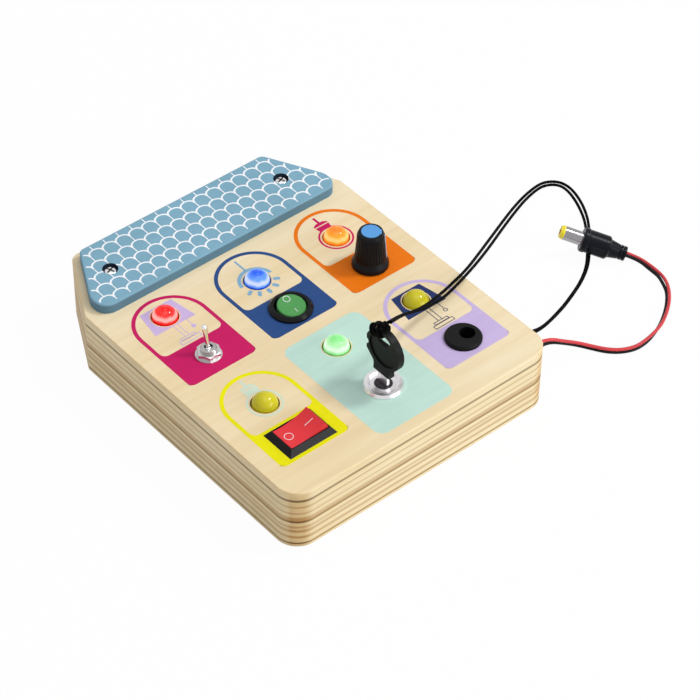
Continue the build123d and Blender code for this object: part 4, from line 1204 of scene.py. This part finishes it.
def table_light(ink, x, bottom, lamp, shade_size, bead_line):
    """Table light: shade, two-line stem, two-step foot and a pull chain with its bead."""
    shade_bottom = shade_size[2]
    shade_print = trapezoid(*shade_size[:2], x, *shade_size[2:])
    cut_out(shade_print, [round_cutter(bare_ring_radius, *lamp_places[lamp])])
    foot_top = bottom + foot_height
    stem_length = shade_bottom - foot_top
    stem_middle = (shade_bottom + foot_top) / 2
    pull_x = x + pull_reach
    pull_end = shade_bottom - pull_length
    pieces = [shade_print]
    for side in (-1, 1):
        pieces.append(bar(outline_width, stem_length, x + side * stem_gap, stem_middle))
    for width, length, rise in foot_steps:
        pieces.append(outlined(width, length, x, bottom + rise))
    chain_length = shade_bottom - pull_end
    pieces.append(bar(outline_width, chain_length, pull_x, (shade_bottom + pull_end) / 2))
    pieces.append(disc(pull_bead, pull_x, pull_end - pull_bead, bead_line))
    printed("picture_table_light_" + ink, inks[ink], pieces)


def pendant(name, ink, x, stem_top, lamp):
    """Pendant: stem, domed cap, socket block, and a ring round the lamp."""
    ring_middle = lamp_places[lamp]
    stem_bottom = stem_top - pendant_stem[1]
    rim = stem_bottom - pendant_cap_radius * pendant_cap_squash
    cap = back_part(disc(pendant_cap_radius, x, rim), x, rim, pendant_cap_squash)
    block_foot = ring_middle[1] + pendant_ring_radius - pendant_block_overlap
    block = trapezoid(*pendant_block, x, block_foot, stem_bottom - pendant_block_drop)
    cut_out(block, [round_cutter(pendant_ring_radius, *ring_middle)])
    stem = bar(*pendant_stem, x, stem_top - pendant_stem[1] / 2)
    ring = disc(pendant_ring_radius, *ring_middle, pendant_ring_line)
    printed("picture_pendant_" + name, inks[ink], [stem, cap, block, ring])


for light in table_lights:
    table_light(*light)
for light in pendants:
    pendant(*light)

blue_x, blue_y = lamp_places["blue"]
arc = disc(arc_radius, blue_x, blue_y, arc_line)
ray_prints = [
    back_part(arc, blue_x, blue_y + arc_foot),
    bar(*ceiling_stem, blue_x, ceiling_stem_y),
]
for angle in ray_angles:
    flat_plate(ray_length, ray_width, ray_reach, 0)
    round_off(ray_width / 2 - corner_flat, ray_steps, lambda p: True)
    ray = inked()
    turn = Matrix.Rotation(math.radians(angle), 4, "Z")
    ray.data.transform(Matrix.Translation(at(blue_x, blue_y, 0)) @ turn)
    ray_prints.append(ray)
printed("picture_ceiling_light", inks["pale_blue"], ray_prints)

# ---- Lamps -------------------------------------------------------------------------------------
# Ten millimetre light diodes: tinted resin domes, four of them lit, each in a black holder under
# the top panel. A lit dome is palest over its chip and deep in colour at its foot and crown, with
# painted shade at the very foot where it meets its hole.
dome_foot = -0.4
dome_top = 4.2
dome_streak = 1.2
dome_glow = 0.72


def lamp_finish(name, place, deep, middle, heart):
    """Lit tinted resin, coloured by height in the dome, with streaks and sparks of light in it and
    painted shade at its foot.
    """
    finish, tree, shader = new_finish(
        name,
        Base_Color=deep,
        Roughness=0.07,
        Specular_IOR_Level=0.25,
        Coat_Weight=0.15,
        Coat_Roughness=0.03,
        Emission_Strength=dome_glow,
    )
    here = add_node(tree, "TexCoord", out="Object")
    centred = add_node(tree, "Mapping", here, Location=at(-place[0], -place[1], -deck_z))
    level = add_node(tree, "SeparateXYZ", centred, out="Z")
    streaks = add_node(tree, "TexNoise", centred, Scale=260.0, Detail=1.0, Distortion=0.6)
    shifted = add_node(
        tree, "Math", streaks, dome_streak * MM, level, operation="MULTIPLY_ADD"
    )
    ends = [(end + dome_streak / 2) * MM for end in (dome_foot, dome_top)]
    height = add_node(tree, "MapRange", shifted, *ends)
    tint = stepped(
        tree,
        height,
        # Darkest at the very foot: painted shade in the gap between the dome and its hole
        (0.0, dimmed(deep, 0.25)),
        (0.11, deep),
        (0.24, middle),
        (0.4, heart),
        (0.5, heart),
        (0.72, middle),
        (0.97, deep),
        smooth="EASE",
    )
    sparks = add_node(tree, "TexVoronoi", centred, Scale=900.0)
    bright = stepped(tree, sparks, (0.1, 150), (0.34, 0))
    tree.links.new(blended(tree, bright, tint, heart), shader.inputs["Emission Color"])
    return finish


# Each lamp's colour at its foot and crown, between them, and over its chip
lit_lamps = (
    ("red", shade(206, 8, 8), shade(250, 56, 50), shade(255, 206, 198)),
    ("blue", shade(22, 78, 196), shade(118, 172, 242), shade(238, 246, 255)),
    ("orange", shade(236, 108, 20), shade(254, 164, 34), shade(255, 228, 140)),
    ("green", shade(112, 192, 112), shade(182, 228, 176), shade(244, 252, 242)),
)
for colour, *tones in lit_lamps:
    dress(lamp_finish(f"lit_{colour}_resin", lamp_places[colour], *tones), "lamp_" + colour)
dull_resin = moulded_finish(
    "yellow_resin", shade(206, 196, 22), 0.12, grain=0.0, coat=0.5, spread=0.06
)
dress(dull_resin, "lamp_yellow_left", "lamp_yellow_right")
black_plastic = moulded_finish("black_moulding", shade(22, 22, 24), 0.4)
dress(black_plastic, "lamp_holders")
tinned = metal_finish("tinned_wire", shade(190, 190, 185), 0.35)
dress(tinned, "lamp_leads")

# ---- Lever switch ------------------------------------------------------------------------------
# Nickelled bat lever in a threaded bushing, held to the panel by a washer and a hexagon nut. The
# switch's own body hangs below.
nut_nickel = metal_finish("nut_nickel", shade(216, 214, 214), 0.33)
dress(chrome, "lever")
dress(nut_nickel, "lever_nut", "lever_washer", "lever_back_nut")
dress(metal_finish("worn_nickel", shade(196, 194, 192), 0.2), "lever_bushing")
dress(moulded_finish("switch_body_red", shade(150, 32, 30), 0.45), "lever_switch_body")

# ---- Round rocker switch -----------------------------------------------------------------------
# Green nylon rocker with a dished top, in a black snap-in bezel. A ring and a stroke are printed
# on the rocker in white.
mark_line = 0.22
mark_thickness = 0.05
mark_start = deck_z + 12
mark_sides = 48
mark_cuts = 7
green_ring = (1.4, 0.3, 3.5)  # radius and place
green_stroke = (mark_line, 1.9, 0.0, -2.4)  # width, length and place
gloss_black = moulded_finish("gloss_black_moulding", shade(17, 17, 19), 0.2, grain=0.01, coat=0.08)
green_plastic = moulded_finish(
    "green_moulding", shade(76, 152, 80), 0.28, grain=0.01, coat=0.4, spread=0.06
)
white_mark = painted_finish("white_mark_ink", shade(238, 240, 238), 0.4, relief=0.0)


def laid_on(piece, node):
    """Drop a flat print on a carried-over piece and thicken it there."""
    bpy.ops.object.select_all(action="DESELECT")
    piece.select_set(True)
    bpy.context.view_layer.objects.active = piece
    drop = piece.modifiers.new("drop", "SHRINKWRAP")
    drop.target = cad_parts[node]
    drop.wrap_method = "PROJECT"
    drop.use_project_z = True
    drop.use_negative_direction = True
    drop.use_positive_direction = False
    drop.offset = 0.0
    bpy.ops.object.modifier_apply(modifier=drop.name)
    edit("FACE")
    thickened(mark_thickness)
    return done()


def ring_mark(radius, x, y):
    """Flat ring above a place, ready to be dropped."""
    flat_circle(mark_sides, radius, x, y, mark_start, mark_line)
    return done()


def stroke_mark(width, length, x, y):
    """Flat stroke above a place, divided along its length, ready to be dropped."""
    flat_plate(width, length, x, y, mark_start)
    select_all()
    bpy.ops.mesh.subdivide(number_cuts=mark_cuts)
    return done()


dress(gloss_black, "round_switch_housing")
dress(green_plastic, "round_switch_cap")
green_marks = [
    laid_on(ring_mark(*green_ring), "round_switch_cap"),
    laid_on(stroke_mark(*green_stroke), "round_switch_cap"),
]
printed("round_cap_marks", white_mark, green_marks, "round_cap")

# ---- Dimmer and its knob -----------------------------------------------------------------------
# Fluted knob of black nylon on the dimmer's shaft, with a pale blue pointer cap and an inlaid line
# down its side that shows where it stands.
cap_radius = 3.6
cap_nose = 1.11
cap_nose_from = 3.4
cap_foot = 14.8
cap_height = 1.45
cap_edge = 0.12
cap_edge_steps = 3
cap_sides = 72
pointer_width = 0.9
pointer_depth = 0.25
pointer_corner = 0.27
pointer_steps = 4
pointer_foot = (5.95, 3.9)
pointer_head = (5.13, 14.5)
knob_rest_angle = math.radians(-43.0)

knob_plastic = moulded_finish(
    "knob_moulding", shade(20, 20, 23), 0.34, grain=0.03, grain_scale=700
)
dress(knob_plastic, "knob")
dress(chrome, "dimmer_shaft", "dimmer_bushing", "dimmer_nut")
dress(metal_finish("dimmer_can", shade(186, 186, 184), 0.3), "dimmer_body")

cap_middle = Vector((column_pitch, upper_row, deck_z + cap_foot))
cap_top = deck_z + cap_foot + cap_height
pointer_way = Vector((math.cos(knob_rest_angle), math.sin(knob_rest_angle), 0))
flat_circle(cap_sides, cap_radius, column_pitch, upper_row, deck_z + cap_foot)
select_where("verts", lambda p: (p - cap_middle).dot(pointer_way) > cap_nose_from)
bpy.ops.transform.resize(value=(cap_nose, cap_nose, 1), center_override=cap_middle * MM)
select_all()
pulled(0, 0, cap_height)
select_where("edges", lambda p: p.z > cap_top - near)
bpy.ops.mesh.bevel(
    offset=cap_edge * MM, offset_type="OFFSET", segments=cap_edge_steps, affect="EDGES"
)
select_all()
bpy.ops.mesh.normals_make_consistent(inside=False)
cap_finish = moulded_finish("blue_moulding", shade(92, 156, 216), grain=0.02, spread=0.05)
pointer_cap = printed("knob_pointer_cap", cap_finish, [done()], "knob")
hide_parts("knob_cap")

pointer_rise = pointer_head[1] - pointer_foot[1]
pointer_lean = math.atan2(pointer_foot[0] - pointer_head[0], pointer_rise)
flat_plate(pointer_width, pointer_rise, 0, pointer_rise / 2, 0)
round_off(pointer_corner, pointer_steps, lambda p: True)
thickened(pointer_depth)
pointer = done()
pointer.data.transform(
    Matrix.Translation(at(column_pitch, upper_row))
    @ Matrix.Rotation(knob_rest_angle, 4, "Z")
    @ Matrix.Translation(at(pointer_foot[0] - pointer_depth / 2, 0, pointer_foot[1]))
    @ Matrix.Rotation(-pointer_lean, 4, "Y")
    @ Matrix.Rotation(math.radians(90), 4, "Z")
    @ Matrix.Rotation(math.radians(90), 4, "X")
)
inlay = moulded_finish("pointer_inlay", shade(176, 206, 236))
printed("knob_pointer_line", inlay, [pointer], "knob")

# ---- Rocker switch -----------------------------------------------------------------------------
# Red polycarbonate rocker, bent in the middle, in a black snap-in bezel. The same two marks are
# printed on it, side by side.
red_ring = (1.7, -42.9, lower_row)
red_stroke = (3.6, mark_line, -34.1, lower_row)
red_plastic = moulded_finish(
    "red_moulding", shade(222, 56, 62), 0.4, grain=0.01, coat=0.1, spread=0.05
)
dress(gloss_black, "rocker_housing")
dress(red_plastic, "rocker_cap")
red_marks = [
    laid_on(ring_mark(*red_ring), "rocker_cap"),
    laid_on(stroke_mark(*red_stroke), "rocker_cap"),
]
printed("rocker_cap_marks", white_mark, red_marks, "rocker_cap")

# ---- Key switch and key ------------------------------------------------------------------------
# Polished die-cast lock with a dished face, its nut and contact block below. The key is a
# nickelled blade in a moulded black head.
lock_chrome = metal_finish("lock_chrome", shade(244, 242, 244), 0.28)
head_plastic = moulded_finish("key_head_moulding", shade(15, 16, 17), 0.42, grain_scale=600)
dress(lock_chrome, "lock_barrel", "lock_nut", "key_blade")
dress(metal_finish("cylinder_metal", shade(70, 66, 70), 0.3), "lock_cylinder")
dress(head_plastic, "key_head")
dress(black_plastic, "lock_contact_block")

# ---- Socket ------------------------------------------------------------------------------------
# Moulded black socket with a centre pin and a contact leaf. Its flange lies on the panel, and a
# brass nut holds it from below.
brass = metal_finish("brass", shade(205, 170, 100), 0.3)
dress(moulded_finish("socket_moulding", shade(16, 16, 17), 0.45), "socket_housing")
dress(chrome, "socket_pin")
dress(brass, "socket_spring", "socket_nut", "solder_tabs")

# ---- Plug --------------------------------------------------------------------------------------
# Moulded black plug with a ribbed strain relief, a plated barrel and a yellow insulating tip with
# an orange bore.
plug_tail = (133.97, -37.41, 2.96)
plug_turn = (0, math.radians(-17.5), math.radians(131.7))
plug_bore_radius = 1.15
plug_tip_radius = 2.3


def tip_finish():
    """Yellow tip: coloured by the distance from the plug's own axis."""
    finish, tree, shader = new_finish("yellow_tip", Roughness=0.35)
    here = add_node(tree, "TexCoord", out="Object")
    plug_axis = {"vector_type": "TEXTURE", "Location": at(*plug_tail), "Rotation": plug_turn}
    along = add_node(tree, "Mapping", here, **plug_axis)
    flat = add_node(tree, "VectorMath", along, (0, 1, 1), operation="MULTIPLY")
    reach = add_node(tree, "VectorMath", flat, operation="LENGTH", out="Value")
    share = add_node(tree, "MapRange", reach, 0.0, plug_tip_radius * MM)
    bore = plug_bore_radius / plug_tip_radius
    bore_tones = ((0.0, shade(190, 96, 14)), (bore, shade(206, 110, 18)))
    tint = stepped(tree, share, *bore_tones, (bore + 0.05, shade(238, 224, 38)))
    tree.links.new(tint, shader.inputs["Base Color"])
    return finish


plug_plastic = moulded_finish(
    "plug_moulding", shade(11, 14, 22), 0.3, grain=0.01, grain_scale=700
)
dress(tip_finish(), "plug_tip")
dress(metal_finish("barrel_nickel", shade(168, 165, 168), 0.16), "plug_barrel")
dress(plug_plastic, "plug_body", "plug_strain_relief")

# ---- Batteries, contacts and inner wiring ------------------------------------------------------
# Moulded tray and screwed cover in the underside, two wrapped cells between sprung contacts, and
# the insulated wires that join the switches and the lamps.
wire_split_z = 8.5


def wiring_finish():
    """Soft insulation: black on the low wires, red on the ones above them."""
    wiring = moulded_finish("inner_insulation", shade(196, 44, 44), 0.4)
    tree = wiring.node_tree
    base = tree.nodes["Principled BSDF"].inputs["Base Color"]
    here = add_node(tree, "TexCoord", out="Object")
    level = add_node(tree, "SeparateXYZ", here, out="Z")
    low = add_node(tree, "Math", level, wire_split_z * MM, operation="LESS_THAN")
    full = base.links[0].from_socket
    tree.links.new(blended(tree, low, full, shade(20, 20, 22)), base)
    return wiring


dress(black_plastic, "battery_tray", "battery_cover")
dress(tinned, "battery_contacts")
dress(moulded_finish("cell_wrap", shade(60, 110, 170), 0.3), "battery_cells")
dress(wiring_finish(), "lamp_wires", "supply_wires")
